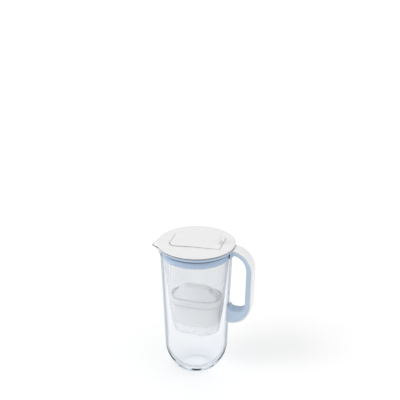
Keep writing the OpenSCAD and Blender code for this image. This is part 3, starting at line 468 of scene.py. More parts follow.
def clearGlass(name, look):
    # clear face on; blue-grey where the wall is seen edge on, partly the glass's own tint over the longer
    # path and partly painted reflection of darker surroundings; darker again by the lip mask, painted rim
    # shade
    material, tree, shader, output = newMaterial(name)
    weight = tree.nodes.new("ShaderNodeLayerWeight")
    weight.inputs["Blend"].default_value = 0.5
    edge = tree.nodes.new("ShaderNodeMapRange")
    edge.inputs["From Min"].default_value = look["edgeStart"]
    edge.inputs["From Max"].default_value = look["edgeEnd"]
    tone = addNode(tree, "ShaderNodeMix", data_type="RGBA")
    tone.inputs["A"].default_value = (*look["color"], 1)
    tone.inputs["B"].default_value = (*look["edge"], 1)
    lip = addNode(tree, "ShaderNodeAttribute", attribute_name="lip")      # 1 on the lip: painted rim shade over the glass's own green
    lipTone = addNode(tree, "ShaderNodeMix", data_type="RGBA", blend_type="MULTIPLY")
    lipTone.inputs["B"].default_value = (*look["lip"], 1)
    tree.links.new(weight.outputs["Facing"], edge.inputs["Value"])
    tree.links.new(edge.outputs["Result"], tone.inputs["Factor"])
    tree.links.new(lip.outputs["Fac"], lipTone.inputs["Factor"])
    tree.links.new(tone.outputs["Result"], lipTone.inputs["A"])
    tree.links.new(lipTone.outputs["Result"], shader.inputs["Base Color"])
    shader.inputs["Roughness"].default_value = 0.0
    shader.inputs["IOR"].default_value = look["ior"]
    shader.inputs["Transmission Weight"].default_value = 1
    letLampsThrough(tree, shader.outputs[0], output, look["lampShare"], look["color"])
    tint = tree.nodes.new("ShaderNodeVolumeAbsorption")
    tint.inputs["Color"].default_value = (*look["tint"], 1)
    tint.inputs["Density"].default_value = look["density"]
    tree.links.new(tint.outputs[0], output.inputs["Volume"])
    return material


def frostedPlastic(name, look):
    # milky and darker where seen edge on, clearer and whiter where seen face on; the milkiness is the
    # plastic's own, the darker edge colour is painted shade
    material, tree, shader, output = newMaterial(name)
    group = addGrainAndShade(tree, shader, look["color"], look["roughness"], **look["grainAndShade"])
    weight = tree.nodes.new("ShaderNodeLayerWeight")
    weight.inputs["Blend"].default_value = 0.5
    milk = addNode(tree, "ShaderNodeMapRange", interpolation_type="SMOOTHSTEP")
    milk.inputs["From Min"].default_value = look["edgeStart"]
    milk.inputs["From Max"].default_value = look["edgeEnd"]
    milk.inputs["To Min"].default_value = look["faceOn"]
    milk.inputs["To Max"].default_value = look["edgeOn"]
    edge = addNode(tree, "ShaderNodeMapRange", interpolation_type="SMOOTHSTEP")
    edge.inputs["From Min"].default_value = look["edgeStart"]
    edge.inputs["From Max"].default_value = look["edgeEnd"]
    tone = addNode(tree, "ShaderNodeMix", data_type="RGBA")
    tone.inputs["A"].default_value = (*look["color"], 1)
    tone.inputs["B"].default_value = (*look["paintedEdgeColor"], 1)
    clear = tree.nodes.new("ShaderNodeBsdfTransparent")
    mix = tree.nodes.new("ShaderNodeMixShader")
    tree.links.new(weight.outputs["Facing"], edge.inputs["Value"])
    tree.links.new(edge.outputs["Result"], tone.inputs["Factor"])
    tree.links.new(tone.outputs["Result"], group.inputs["Color"])
    tree.links.new(weight.outputs["Facing"], milk.inputs["Value"])
    tree.links.new(milk.outputs["Result"], mix.inputs[0])
    tree.links.new(clear.outputs[0], mix.inputs[1])
    tree.links.new(shader.outputs[0], mix.inputs[2])
    tree.links.new(mix.outputs[0], output.inputs["Surface"])
    return material


# crevice and fold values set the strength of painted shade in gaps and folds; the glass's edge and lip
# colours and the frosted edge colour are painted as well, as their materials say
looks = {
    "glass": {"color": (0.962, 0.967, 0.977), "edge": (0.18, 0.25, 0.35), "edgeStart": 0.62, "edgeEnd": 0.86,
              "lip": (0.22, 0.29, 0.29), "ior": 1.1, "lampShare": 0.97, "tint": (0.55, 0.66, 0.74),
              "density": 7},
    "frosted": {"color": (0.95, 0.957, 0.97), "paintedEdgeColor": (0.70, 0.725, 0.76), "roughness": 0.32,
                "edgeStart": 0.5, "edgeEnd": 0.93, "faceOn": 0.24, "edgeOn": 0.8,
                "grainAndShade": {"shade": 0.02, "scale": 600, "depth": 0.15, "creviceShade": 0}},
    "white": {"color": (0.89, 0.89, 0.895), "roughness": 0.3},
    "grip": {"color": (0.50, 0.62, 0.765), "roughness": 0.45, "shade": 0.04, "depth": 0.2, "creviceShade": 0,
             "foldShade": 0.6},
    "seal": {"color": (0.515, 0.635, 0.79), "roughness": 0.55, "gloss": 0.12, "shade": 0.04, "creviceShade": 0,
             "foldShade": 0.45},
    "cartridge": {"color": (0.865, 0.868, 0.872), "roughness": 0.42, "creviceShade": 0, "foldShade": 0.8},
    "lens": {"color": (0.36, 0.52, 0.02), "roughness": 0.15, "gloss": 0.6, "creviceShade": 0.2},
    "dark": {"color": (0.10, 0.11, 0.10), "roughness": 0.4, "creviceShade": 0.3},
    "inlet": {"wireColor": (0.62, 0.63, 0.64), "holeColor": (0.30, 0.31, 0.32), "pitch": 0.0011},
    "screen": {"wireColor": (0.75, 0.77, 0.78), "holeColor": (0.40, 0.42, 0.43), "pitch": 0.0009},
    "bed": {"dark": (0.03, 0.03, 0.03), "pale": (0.70, 0.62, 0.45), "size": 0.0012},
    "gasket": {"color": (0.80, 0.82, 0.84), "roughness": 0.55, "gloss": 0.2, "creviceShade": 0},
    "ringSeal": {"color": (0.16, 0.17, 0.18), "roughness": 0.6, "gloss": 0.2},
    "pin": {"color": (0.62, 0.63, 0.65), "roughness": 0.25, "metal": 1.0, "creviceShade": 0},
    "cell": {"color": (0.66, 0.67, 0.69), "roughness": 0.3, "metal": 1.0, "scale": 300, "creviceShade": 0},
    "board": {"wireColor": (0.03, 0.22, 0.11), "holeColor": (0.05, 0.30, 0.16), "pitch": 0.0024,
              "wire": 0.82},
    "cover": {"color": (0.83, 0.845, 0.855), "roughness": 0.38},
}

woven = weaveGroup()
glassMaterial = clearGlass("clearGlass", looks["glass"])
frostedMaterial = frostedPlastic("frostedPlastic", looks["frosted"])
whiteMaterial = mouldedPlastic("whitePlastic", **looks["white"])
gripMaterial = mouldedPlastic("blueGrip", **looks["grip"])
sealMaterial = mouldedPlastic("blueSeal", **looks["seal"])
cartridgeMaterial = mouldedPlastic("cartridgePlastic", **looks["cartridge"])
lensMaterial = mouldedPlastic("greenLens", **looks["lens"])
darkMaterial = mouldedPlastic("darkPlastic", **looks["dark"])
inletMaterial = wireMesh("inletMesh", **looks["inlet"])
screenMaterial = wireMesh("outletScreen", **looks["screen"])
bedMaterial = granules("filterBed", **looks["bed"])
gasketMaterial = mouldedPlastic("paleSeal", **looks["gasket"])
ringSealMaterial = mouldedPlastic("greySeal", **looks["ringSeal"])
pinMaterial = mouldedPlastic("steelPin", **looks["pin"])
cellMaterial = mouldedPlastic("steelCell", **looks["cell"])
boardMaterial = wireMesh("circuitBoard", **looks["board"])
coverMaterial = mouldedPlastic("coverPlastic", **looks["cover"])
print("materials done")


# stage: camera, lamps, world, floor

view = {"distance": 1.127, "height": 0.7765, "azimuth": 16.0, "pitch": 21.5, "lens": 63.0, "shift": 0.00875,
        "sensor": 36, "near": 0.05, "far": 60}


def addCamera():
    camera = bpy.data.cameras.new("camera")
    camera.lens = view["lens"]
    camera.sensor_width = view["sensor"]
    camera.shift_x = view["shift"]
    camera.clip_start = view["near"]
    camera.clip_end = view["far"]
    turn = math.radians(view["azimuth"])
    holder = bpy.data.objects.new("camera", camera)
    holder.location = (view["distance"] * math.sin(turn), -view["distance"] * math.cos(turn), view["height"])
    holder.rotation_euler = (math.radians(90 - view["pitch"]), 0, turn)
    scene.collection.objects.link(holder)
    scene.camera = holder


lamps = {
    "keySun": {"strength": 0.86, "size": 40, "turn": (47, 0, -54)},
    "fillSun": {"strength": 0.5, "size": 80, "turn": (64, 0, 72)},
}


def addLamps():
    for name, lamp in lamps.items():
        light = bpy.data.lights.new(name, "SUN")
        light.energy = lamp["strength"]
        light.angle = math.radians(lamp["size"])
        holder = bpy.data.objects.new(name, light)
        holder.rotation_euler = [math.radians(a) for a in lamp["turn"]]
        scene.collection.objects.link(holder)


air = {"white": 1.0, "light": 0.69}


def addWorld():
    # white for sight, reflections and glass, dimmer as a source of light
    world = bpy.data.worlds.new("studio")
    scene.world = world
    world.use_nodes = True
    tree = world.node_tree
    tree.nodes.clear()
    path = tree.nodes.new("ShaderNodeLightPath")
    seen = addNode(tree, "ShaderNodeMath", operation="MAXIMUM")
    seenToo = addNode(tree, "ShaderNodeMath", operation="MAXIMUM")
    level = addNode(tree, "ShaderNodeMapRange")
    level.inputs["To Min"].default_value = air["light"]
    level.inputs["To Max"].default_value = air["white"]
    back = tree.nodes.new("ShaderNodeBackground")
    output = tree.nodes.new("ShaderNodeOutputWorld")
    tree.links.new(path.outputs["Is Camera Ray"], seen.inputs[0])
    tree.links.new(path.outputs["Is Transmission Ray"], seen.inputs[1])
    tree.links.new(seen.outputs[0], seenToo.inputs[0])
    tree.links.new(path.outputs["Is Glossy Ray"], seenToo.inputs[1])
    tree.links.new(seenToo.outputs[0], level.inputs["Value"])
    tree.links.new(level.outputs["Result"], back.inputs["Strength"])
    back.inputs["Color"].default_value = (1, 1, 1, 1)
    tree.links.new(back.outputs[0], output.inputs["Surface"])


ground = {"half": 12, "below": 0.0002, "roughness": 0.12, "gloss": 0.15, "lift": 0.095}


def addFloor():
    # a wide white floor with a little light of its own
    half = ground["half"]
    mesh = bpy.data.meshes.new("floor")
    corners = [(-half, -half, 0), (half, -half, 0), (half, half, 0), (-half, half, 0)]
    mesh.from_pydata(corners, [], [(0, 1, 2, 3)])
    floor = bpy.data.objects.new("floor", mesh)
    scene.collection.objects.link(floor)
    floor.location.z = -ground["below"]
    material, _, shader, _ = newMaterial("studioFloor")
    shader.inputs["Base Color"].default_value = (1.0, 1.0, 1.0, 1)
    shader.inputs["Roughness"].default_value = ground["roughness"]
    shader.inputs["Specular IOR Level"].default_value = ground["gloss"]
    shader.inputs["Emission Color"].default_value = (1, 1, 1, 1)
    shader.inputs["Emission Strength"].default_value = ground["lift"]
    mesh.materials.append(material)


addCamera()
addLamps()
addWorld()
addFloor()
scene.view_settings.view_transform = "Standard"
scene.cycles.transparent_max_bounces = 32
scene.cycles.transmission_bounces = 24
scene.cycles.max_bounces = 24
print("stage done")


# glass jug

jug = {"wall": 2.25, "floor": 7.0, "taper": 6.4, "corner": 45.0, "tall": 58.0, "neck": 24.0, "foot": 27.0,
       "footWidth": 5.0, "groove": 0.4, "rimR": 64.1, "rimZ": 244.8, "lip": 1.1,
       "spoutReach": 20.0, "spoutDrop": 7.0, "spoutArch": 2.2, "spoutDepth": 17.0, "spoutHalf": 27.0,
       "spoutTip": 0.06, "spoutBelly": 1.35, "spoutRoot": 0.95, "spoutFade": 2.4, "spoutSoft": 0.0006,
       "spoutStart": 0.0245,
       "swellFrom": 0.26, "swellPower": 0.8, "lipDepth": (0.5, 1.6), "lipFront": (174, 184),
       "lipShare": (0.02, 0.2), "lipRound": 0.5, "lipSpout": 0.6, "lipBack": 0.12}


def jugProfile():
    # from the underside's middle, up the outside, over the round lip and down to the inner floor's middle
    lowR = jug["rimR"] - jug["taper"]
    cx = lowR - jug["corner"]
    end = math.degrees(math.acos((jug["foot"] - cx) / jug["corner"]))
    cz = jug["tall"] * math.sin(math.radians(end))
    grooveR = jug["foot"] - jug["footWidth"]
    neckZ = jug["rimZ"] - jug["neck"]
    base = roundedPath([(2, 0, 0), (grooveR - 6, 0, 1), (grooveR - 5, jug["groove"], 0.6),
                        (grooveR - 1, jug["groove"], 0.6), (grooveR, 0, 0.6), (jug["foot"] - 0.4, 0, 0)])
    bend = arc(cx, cz, jug["corner"], jug["tall"], -end, 0, 34)
    wall = np.stack([np.linspace(lowR, jug["rimR"], 16), np.linspace(cz, neckZ, 16)], -1)[1:]
    neck = np.stack([np.full(14, jug["rimR"]), np.linspace(neckZ, jug["rimZ"] - jug["lip"], 15)[1:]], -1)
    bore = jug["rimR"] - jug["wall"]
    halfWall = jug["wall"] / 2
    lip = arc(jug["rimR"] - halfWall, jug["rimZ"] - jug["lip"], halfWall, jug["lip"], 0, 180, 9)[1:]
    neckIn = np.stack([np.full(14, bore), np.linspace(jug["rimZ"] - jug["lip"], neckZ, 15)[1:]], -1)
    wallIn = np.stack([np.linspace(bore, lowR - jug["wall"], 16), np.linspace(neckZ, cz, 16)], -1)[1:]
    innerR = jug["corner"] - jug["wall"]
    bendIn = arc(lowR - jug["wall"] - innerR, cz, innerR, cz - jug["floor"], 0, -88, 30)[1:]
    floorIn = np.array([[12, jug["floor"]], [6, jug["floor"]], [2, jug["floor"]]])
    return np.vstack([base, bend, wall, neck, lip, neckIn, wallIn, bendIn, floorIn])


def pullSpout(grid, angles):
    # share = (1 - t^belly)^root, with t the part of the spout's half angle, softened at the tip;
    # out: reach * share * (sqrt(rise^fade + soft) - start), never inwards, with rise from 0 at the spout's
    # foot to 1 at the rim's height;
    # up: (arch * sin^2(pi w^power) - drop * share^3) * rise^2, w from 0 at share swellFrom to 1 at the tip
    away = np.abs(angles % fullTurn - math.pi) / math.radians(jug["spoutHalf"])
    t = np.clip((np.sqrt(away ** 2 + jug["spoutTip"] ** 2) - jug["spoutTip"]) / (1 - jug["spoutTip"]), 0, 1)
    share = (1 - t ** jug["spoutBelly"]) ** jug["spoutRoot"]
    foot = jug["rimZ"] - jug["spoutDepth"]
    rise = np.clip((grid[..., 2] - foot) / jug["spoutDepth"], 0, 1)
    fade = np.sqrt(rise ** jug["spoutFade"] + jug["spoutSoft"]) - jug["spoutStart"]
    shift = jug["spoutReach"] * share * fade
    shift = np.maximum(shift, 0)
    out = grid.copy()
    out[..., 0] += shift * np.cos(angles)
    out[..., 1] += shift * np.sin(angles)
    along = np.clip((share - jug["swellFrom"]) / (1 - jug["swellFrom"]), 0, 1)
    swell = np.sin(math.pi * along ** jug["swellPower"]) ** 2
    out[..., 2] += (jug["spoutArch"] * swell - jug["spoutDrop"] * share ** 3) * rise ** 2
    return out, share


def makeJug():
    angles = evenAngles(144, [(150, 210, 91), (176, 184, 25)])
    profile = jugProfile()
    grid, share = pullSpout(lathe(profile, angles), angles)
    piece = skin("glassJug", grid, capLow=True, capHigh=True, sharp=50)
    # the lip mask, painted rim shade, falls to 0 below the rim's top, and is strongest on the spout's half
    # with y below 0, the side towards the camera
    low = 1 - smoothStep(jug["rimZ"] - profile[:, 1], *jug["lipDepth"])
    front = smoothStep(angles, *np.radians(jug["lipFront"]))
    onSpout = (jug["lipSpout"] * front - jug["lipBack"]) * smoothStep(share, *jug["lipShare"])
    lip = np.append((low[:, None] * (jug["lipRound"] + onSpout)).ravel(), [0, 0])
    piece.data.attributes.new("lip", "FLOAT", "POINT").data.foreach_set("value", lip)
    return finishPiece(piece, "jug", "clear_glass", glassMaterial, "glass_jug")


makeJug()
print("jug done")


# handle

handle = {"width": 25.0, "reach": 105.4, "top": 251.2, "bottom": 104.6, "shell": 2.8, "lean": 1.2,
          "bendTop": 43.0, "bendLow": 41.0, "bendX": 66.0, "stepX": 69.4, "step": 1.0, "pad": 1.1,
          "edge": 0.9,
          "gripBack": 9.2, "gripTop": 8.4, "gripLow": 22.6, "gripCorner": 14.0, "gripBend": 29.5,
          "gripEdge": 2.2,
          "heelTop": 11.0, "heelLow": 6.5, "heelReach": 7.5, "middle": 180, "wallLow": 42.7, "footSteps": 6,
          "flatSteps": 8, "cornerSteps": 14, "bendSteps": 22, "backSteps": 10}


def glassRadius(z):
    # the glass narrows in a straight line from the neck to the bottom curve
    lowR = jug["rimR"] - jug["taper"]
    low, neck = handle["wallLow"], jug["rimZ"] - jug["neck"]
    return lowR + jug["taper"] * np.clip((z - low) / (neck - low), 0, 1)


def outerPath(inset):
    # side view of the handle, drawn in by the inset: foot, lower bend, leaning back, upper bend
    h = handle
    lowZ, topZ = h["bottom"] + h["bendLow"], h["top"] - h["bendTop"]
    lowReach = h["reach"] - h["lean"]
    steps = h["bendSteps"]
    low = arc(h["bendX"], lowZ, lowReach - h["bendX"] - inset, h["bendLow"] - inset, -90, 0, steps)
    top = arc(h["bendX"], topZ, h["reach"] - h["bendX"] - inset, h["bendTop"] - inset, 0, 90, steps)
    back = np.linspace(low[-1], top[0], h["backSteps"] + 2)[1:-1]
    return np.vstack([footPath(h["bottom"] + inset), low, back, top])


def footPath(z):
    # the last 5 mm before the lower bend, level at the height z
    x = handle["bendX"] - 5 + 5 * np.linspace(0, 0.9, handle["footSteps"])
    return np.stack([x, np.full(len(x), z)], -1)


def innerPath():
    # side view of the finger gap: foot, flat, lower corner, leaning back, upper bend
    h = handle
    depth = h["shell"] + h["gripBack"]
    lowZ, topZ = h["bottom"] + h["shell"] + h["gripLow"], h["top"] - h["shell"] - h["gripTop"]
    lowBack, topBack = h["reach"] - h["lean"] - depth, h["reach"] - depth
    r = h["gripCorner"]
    flat = np.linspace([h["bendX"], lowZ], [lowBack - r, lowZ], h["flatSteps"] + 1)[:-1]
    corner = arc(lowBack - r, lowZ + r, r, r, -90, 0, h["cornerSteps"])
    top = arc(h["bendX"], topZ - h["gripBend"], topBack - h["bendX"], h["gripBend"], 0, 90, h["bendSteps"])
    back = np.linspace(corner[-1], top[0], h["backSteps"] + 2)[1:-1]
    path = np.vstack([footPath(lowZ), flat, corner, back, top])
    # soft heels that run up and down the glass: z changes by heel * (1 - distance / reach)^2
    near = np.clip(1 - (path[:, 0] - glassRadius(path[:, 1]) - h["pad"]) / h["heelReach"], 0, 1) ** 2
    path[:, 1] += near * np.where(path[:, 1] > h["middle"], -h["heelTop"], h["heelLow"])
    return path


def bandGrid(outer, inner, width, outerEdge, innerEdge):
    # sweep of a rounded rectangle between two paths; each corner is a quarter circle of its own edge radius
    thick = np.linalg.norm(inner - outer, axis=1)[:, None]
    along = (inner - outer) / thick
    turn = np.linspace(0, math.pi / 2, 6)
    c, s = np.cos(turn), np.sin(turn)
    half = width / 2
    depth = np.hstack([outerEdge * (1 - s) + 0 * thick, outerEdge * (1 - c) + 0 * thick,
                       thick - innerEdge * (1 - s), thick - innerEdge * (1 - c)])
    side = np.concatenate([half - outerEdge * (1 - c), outerEdge * (1 - s) - half,
                           innerEdge * (1 - c) - half, half - innerEdge * (1 - s)])
    x = outer[:, :1] + along[:, :1] * depth
    z = outer[:, 1:] + along[:, 1:] * depth
    return np.stack([x, np.broadcast_to(side, x.shape), z], -1)


def seatOnGlass(grid):
    # both ends follow the round wall: x = sqrt(r^2 - y^2), and the next sections never cut behind it
    for row, room in ((0, 0), (1, 0.3), (2, 0.6), (-1, 0), (-2, 0.3), (-3, 0.6)):
        wall = np.sqrt((glassRadius(grid[row, :, 2]) + handle["pad"]) ** 2 - grid[row, :, 1] ** 2)
        grid[row, :, 0] = wall if room == 0 else np.maximum(grid[row, :, 0], wall + room)
    return grid


def makeHandle():
    # white shell, whose top drops by a small step at stepX, over a blue grip that lines the finger gap
    shellOuter, shellInner = outerPath(0), outerPath(handle["shell"])
    low = (shellOuter[:, 0] < handle["stepX"]) & (shellOuter[:, 1] > handle["middle"])
    first = int(np.argmax(low))
    shellOuter = np.insert(shellOuter, first, [handle["stepX"], shellOuter[first - 1, 1]], 0)
    shellInner = np.insert(shellInner, first, shellInner[first], 0)
    shellOuter[first + 1:, 1] = handle["top"] - handle["step"]
    shellInner[first, 0] += 0.2
    grid = seatOnGlass(bandGrid(shellOuter, shellInner, handle["width"], handle["edge"], 0.4))
    shell = skin("handleShell", grid, capLow=True, capHigh=True, sharp=32)
    finishPiece(shell, "jug", "white_plastic", whiteMaterial, "handle_shell")
    inner = innerPath()
    # the grip's outer side has as many sections as the finger gap, and their foot and top bend fall together
    outer = outerPath(handle["shell"] + 0.05)
    count, total = len(inner), len(outer)
    foot, bend = handle["footSteps"], handle["bendSteps"]
    cornerEnd = foot + handle["flatSteps"] + handle["cornerSteps"]
    stations = np.interp(np.arange(count), [0, foot, cornerEnd - 1, count - bend, count - 1],
                         [0, foot, foot + bend - 1, total - bend, total - 1])
    outer = np.stack([np.interp(stations, np.arange(total), outer[:, k]) for k in range(2)], -1)
    grid = seatOnGlass(bandGrid(outer, inner, handle["width"] - 1, 0.4, handle["gripEdge"]))
    grip = skin("handleGrip", grid, capLow=True, capHigh=True, sharp=40)
    finishPiece(grip, "jug", "blue_grip", gripMaterial, "handle_grip")


makeHandle()
dressNode("handle_bond_pads", gripMaterial)
print("handle done")


# collar

collar = {"bore": 59.65, "neck": 60.3, "rib": 61.55, "bottom": 229.4, "seat": 245.1, "top": 249.3,
          "flange": 67.4, "edge": 1.3, "ribLow": 230.5, "ribHigh": 240.9, "ribEdge": 1.2, "notchX": 63.4,
          "notchHalf": 13.3,
          # the groove, top and foot shade values are strengths of painted shade
          "notchFrom": 62.0, "paintedGrooveShade": 0.5, "paintedTopShade": 0.62, "paintedFootShade": 0.45, "grooveFade": 1.2,
          "topFade": 1.0, "footFade": 1.2}


def notchIn(grid, angles, reach, piece, zLow):
    # beside the handle the flange ends at x = notchX, so limit = notchX / cos(angle), and
    # r becomes notchFrom + (r - notchFrom) (limit - notchFrom) / (reach - notchFrom)
    near = np.abs((angles + math.pi) % fullTurn - math.pi)
    edge = math.asin(piece["notchHalf"] / ((piece["notchX"] + reach) / 2))
    limit = piece["notchX"] / np.cos(np.minimum(near, edge))
    r = np.hypot(grid[..., 0], grid[..., 1])
    start = piece["notchFrom"]
    squeezed = start + (r - start) * (limit - start) / (reach - start)
    inNotch = (near < edge) & (r > start) & (grid[..., 2] > zLow)
    factor = np.where(inNotch, squeezed / np.maximum(r, 1), 1)
    grid[..., 0] *= factor
    grid[..., 1] *= factor
    return grid


def notchAngles(count, reach, piece):
    # angles round a turn, with a close pair at each side of the notch and extra ones across it
    edge = math.degrees(math.asin(piece["notchHalf"] / ((piece["notchX"] + reach) / 2)))
    pairs = [(side - 0.06, side + 0.06, 2) for side in (edge, -edge)]
    return evenAngles(count, pairs + [(-edge + 1, edge - 1, 9)])


def makeCollar():
    # one broad rib round the neck, the flange over it, and a mask of painted shade: darker in the groove
    # under the flange, on the top face and at the foot
    c = collar
    profile = roundedPath([(c["neck"], c["bottom"] + 0.3, 0), (c["neck"], c["ribLow"], 0.3),
                           (c["rib"], c["ribLow"], c["ribEdge"]), (c["rib"], c["ribHigh"], c["ribEdge"]),
                           (c["neck"], c["ribHigh"], 0.3), (c["neck"], c["seat"], 0.6),
                           (c["flange"], c["seat"], c["edge"]), (c["flange"], c["top"], c["edge"]),
                           (c["bore"], c["top"], c["edge"] + 0.5), (c["bore"], c["bottom"], 0.6),
                           (c["neck"] - 0.3, c["bottom"], 0)], steps=6)
    angles = notchAngles(160, c["flange"], c)
    grid = notchIn(lathe(profile, angles), angles, c["flange"], c, c["seat"] - 0.2)
    piece = skin("collarRing", grid, loopV=True, sharp=38)
    # painted shade: the groove under the flange, the flange's top face and the foot are darkened in the
    # colour, not by the lamps
    r, z = profile[:, 0], profile[:, 1]
    inGroove = (r > c["neck"] - 0.1) * (r < c["flange"] - 2) * (z < c["seat"] + 0.5)
    groove = inGroove * smoothStep(z, c["ribHigh"] - c["grooveFade"], c["ribHigh"])
    shade = c["paintedGrooveShade"] * groove + c["paintedTopShade"] * smoothStep(z, c["top"] - c["topFade"], c["top"])
    foot = (1 - smoothStep(z, c["bottom"], c["ribLow"] + c["footFade"])) * (r > c["neck"] - 1)
    shade += c["paintedFootShade"] * foot
    mask = piece.data.attributes.new("shade", "FLOAT", "POINT")
    mask.data.foreach_set("value", np.repeat(shade, len(angles)))
    finishPiece(piece, "collar", "blue_seal", sealMaterial, "collar_ring")


makeCollar()
print("collar done")


# funnel

funnel = {"bottom": 76.0, "wall": 1.1, "low": (44.5, 28.0), "ledge": (51.1, 33.0), "ledgeZ": 136.0,
          "ledgeT": 1.6,
          "ledgeIn": (46.7, 28.6), "round": 6.0, "band": 58.8, "bandZ": 224.0, "bead": 59.35, "beadZ": 229.2,
          "flangeZ": 249.6, "top": 252.0, "flange": 69.0, "edge": 1.0, "postR": 7.6, "postH": 20.0,
          "postFoot": 5.0,
          "postHollow": 6.0, "holeR": 2.4, "holeAt": 15.8, "holes": 8, "middle": 22, "ease": 0.035,
          "notchX": 63.4, "notchHalf": 13.3, "notchFrom": 62.0}


def makeFunnel():
    # sections up the outside from the hollow post, over the rim, and down past the ledge to the post's top
    f = funnel
    w = f["wall"]
    a, b = f["low"]
    la, lb = f["ledge"]
    hollow, roof = f["postHollow"], f["bottom"] + f["postH"]
    outer = ringLevels([(2, roof - w - 0.4), (hollow - 0.5, roof - w - 0.4), (hollow, roof - 2.2),
                        (hollow, f["bottom"] + 0.4), (hollow + 0.4, f["bottom"]), (f["middle"], f["bottom"])])
    outer += roundFoot(a, b, f["bottom"], f["round"], 0)
    outer += between(outer[-1], (la, lb, f["ledgeZ"]), 6)
    outer += between((la, lb, f["ledgeZ"]), (f["band"], f["band"], f["bandZ"]), 10)
    bead = arc(f["band"] - 0.2, f["beadZ"], f["bead"] - f["band"] + 0.2, 1.7, -90, 90, 9)
    rim = roundedPath([(f["band"], f["beadZ"] + 4, 0), (f["band"], f["flangeZ"], 0.8),
                       (f["flange"], f["flangeZ"], f["edge"]), (f["flange"], f["top"], f["edge"]),
                       (f["band"] - w, f["top"], 0.8),
                       (f["band"] - w, f["bandZ"], 0)], steps=6)
    rim = np.vstack([[[f["band"], f["beadZ"] - 2.2]], bead, rim])
    inner = between((f["band"] - w, f["band"] - w, f["bandZ"]), (la - w, lb - w, f["ledgeZ"] + 0.02), 10)
    ledge = [(*f["ledgeIn"], f["ledgeZ"]), (*f["ledgeIn"], f["ledgeZ"] - f["ledgeT"]),
             (la - w - 0.1, lb - w - 0.1, f["ledgeZ"] - f["ledgeT"])]
    foot = roundFoot(a, b, f["bottom"] + w + 0.2, f["round"], w)[::-1]
    inner += ledge + between(ledge[-1], foot[0], 6)[:-1] + foot
    postR, z = f["postR"], f["bottom"]
    post = roundedPath([(f["middle"], z + w + 0.2, 0), (postR + f["postFoot"], z + w + 0.3, 1),
                        (postR + 2, z + 3, 1.5), (postR + 0.6, z + 6, 2), (postR, z + f["postH"], 1.6),
                        (2, z + f["postH"], 0)])
    angles = notchAngles(144, f["flange"], f)
    grid = stack(outer + ringLevels(rim) + inner + ringLevels(post), angles, f["ease"])
    grid = notchIn(grid, angles, f["flange"], f, f["flangeZ"] - 0.2)
    piece = skin("funnel", grid, capLow=True, capHigh=True, sharp=38)
    turn = np.linspace(0, fullTurn, 24, endpoint=False)
    drills = []
    for k in range(f["holes"]):
        way = (k + 0.5) * fullTurn / f["holes"]
        middle = f["holeAt"] * np.array([math.cos(way), math.sin(way)])
        ring = np.stack([middle[0] + f["holeR"] * np.cos(turn), middle[1] + f["holeR"] * np.sin(turn)], -1)
        drills.append(blockCutter(ring, z - 1, z + 6))
    carve(piece, joinSkins("drills", drills))
    finishPiece(piece, "funnel", "frosted_plastic", frostedMaterial, "funnel")


makeFunnel()
print("funnel done")


# cartridge

cartridge = {"a": 49.1, "b": 31.0, "bandZ": 137.5, "top": 148.3, "foot": 92.5, "wall": 1.5,
             "bodyA": 45.9, "bodyB": 28.5, "draft": 2.4, "round": 7.0, "edge": 0.7, "wellR": 8.6,
             "wellH": 22.0, "slots": 12, "slotW": 1.6,
             "panelX": 31.0, "panelLow": 101.0, "panelHigh": 134.0, "panelCorner": 9.0, "panelDepth": 0.5,
             "domeA": 40.8, "domeB": 26.9, "topA": 21.5, "topB": 8.5, "rise": 16.5, "moat": 3.2, "rim": 1.0,
             "footPower": 3.4, "topPower": 6.0, "windows": ((24.0, 32.6, 13.0), (20.9, 22.6, 11.0)),
             "windowDepths": (-1.45, 4.0), "wellWall": 1.2, "middle": 20, "footTall": 1.15, "ease": 0.03,
             "earFoot": 0.5, "panelFade": (-0.7, 0.4), "panelFrom": 12,
             "ringX": 35.8, "ringZ": 150.1, "earIn": 4.8, "earOut": 6.2, "earR": 1.9, "pocketW": 14.8,
             "pocketX": 34.3}


def insetPanel(grid):
    # a wide shallow panel on the front and on the back: |y| shrinks by panelDepth inside a rounded rectangle
    # in (x, z), and the step fades out with the distance hypot(dx, dz) - corner from its edge
    c = cartridge
    corner = c["panelCorner"]
    midZ = (c["panelLow"] + c["panelHigh"]) / 2
    halfZ = (c["panelHigh"] - c["panelLow"]) / 2
    dx = np.maximum(np.abs(grid[..., 0]) - c["panelX"] + corner, 0)
    dz = np.maximum(np.abs(grid[..., 2] - midZ) - halfZ + corner, 0)
    outside = np.hypot(dx, dz) - corner
    onFlank = np.abs(grid[..., 1]) > c["panelFrom"]
    depth = c["panelDepth"] * (1 - smoothStep(outside, *c["panelFade"])) * onFlank
    grid[..., 1] -= np.sign(grid[..., 1]) * depth
    return grid


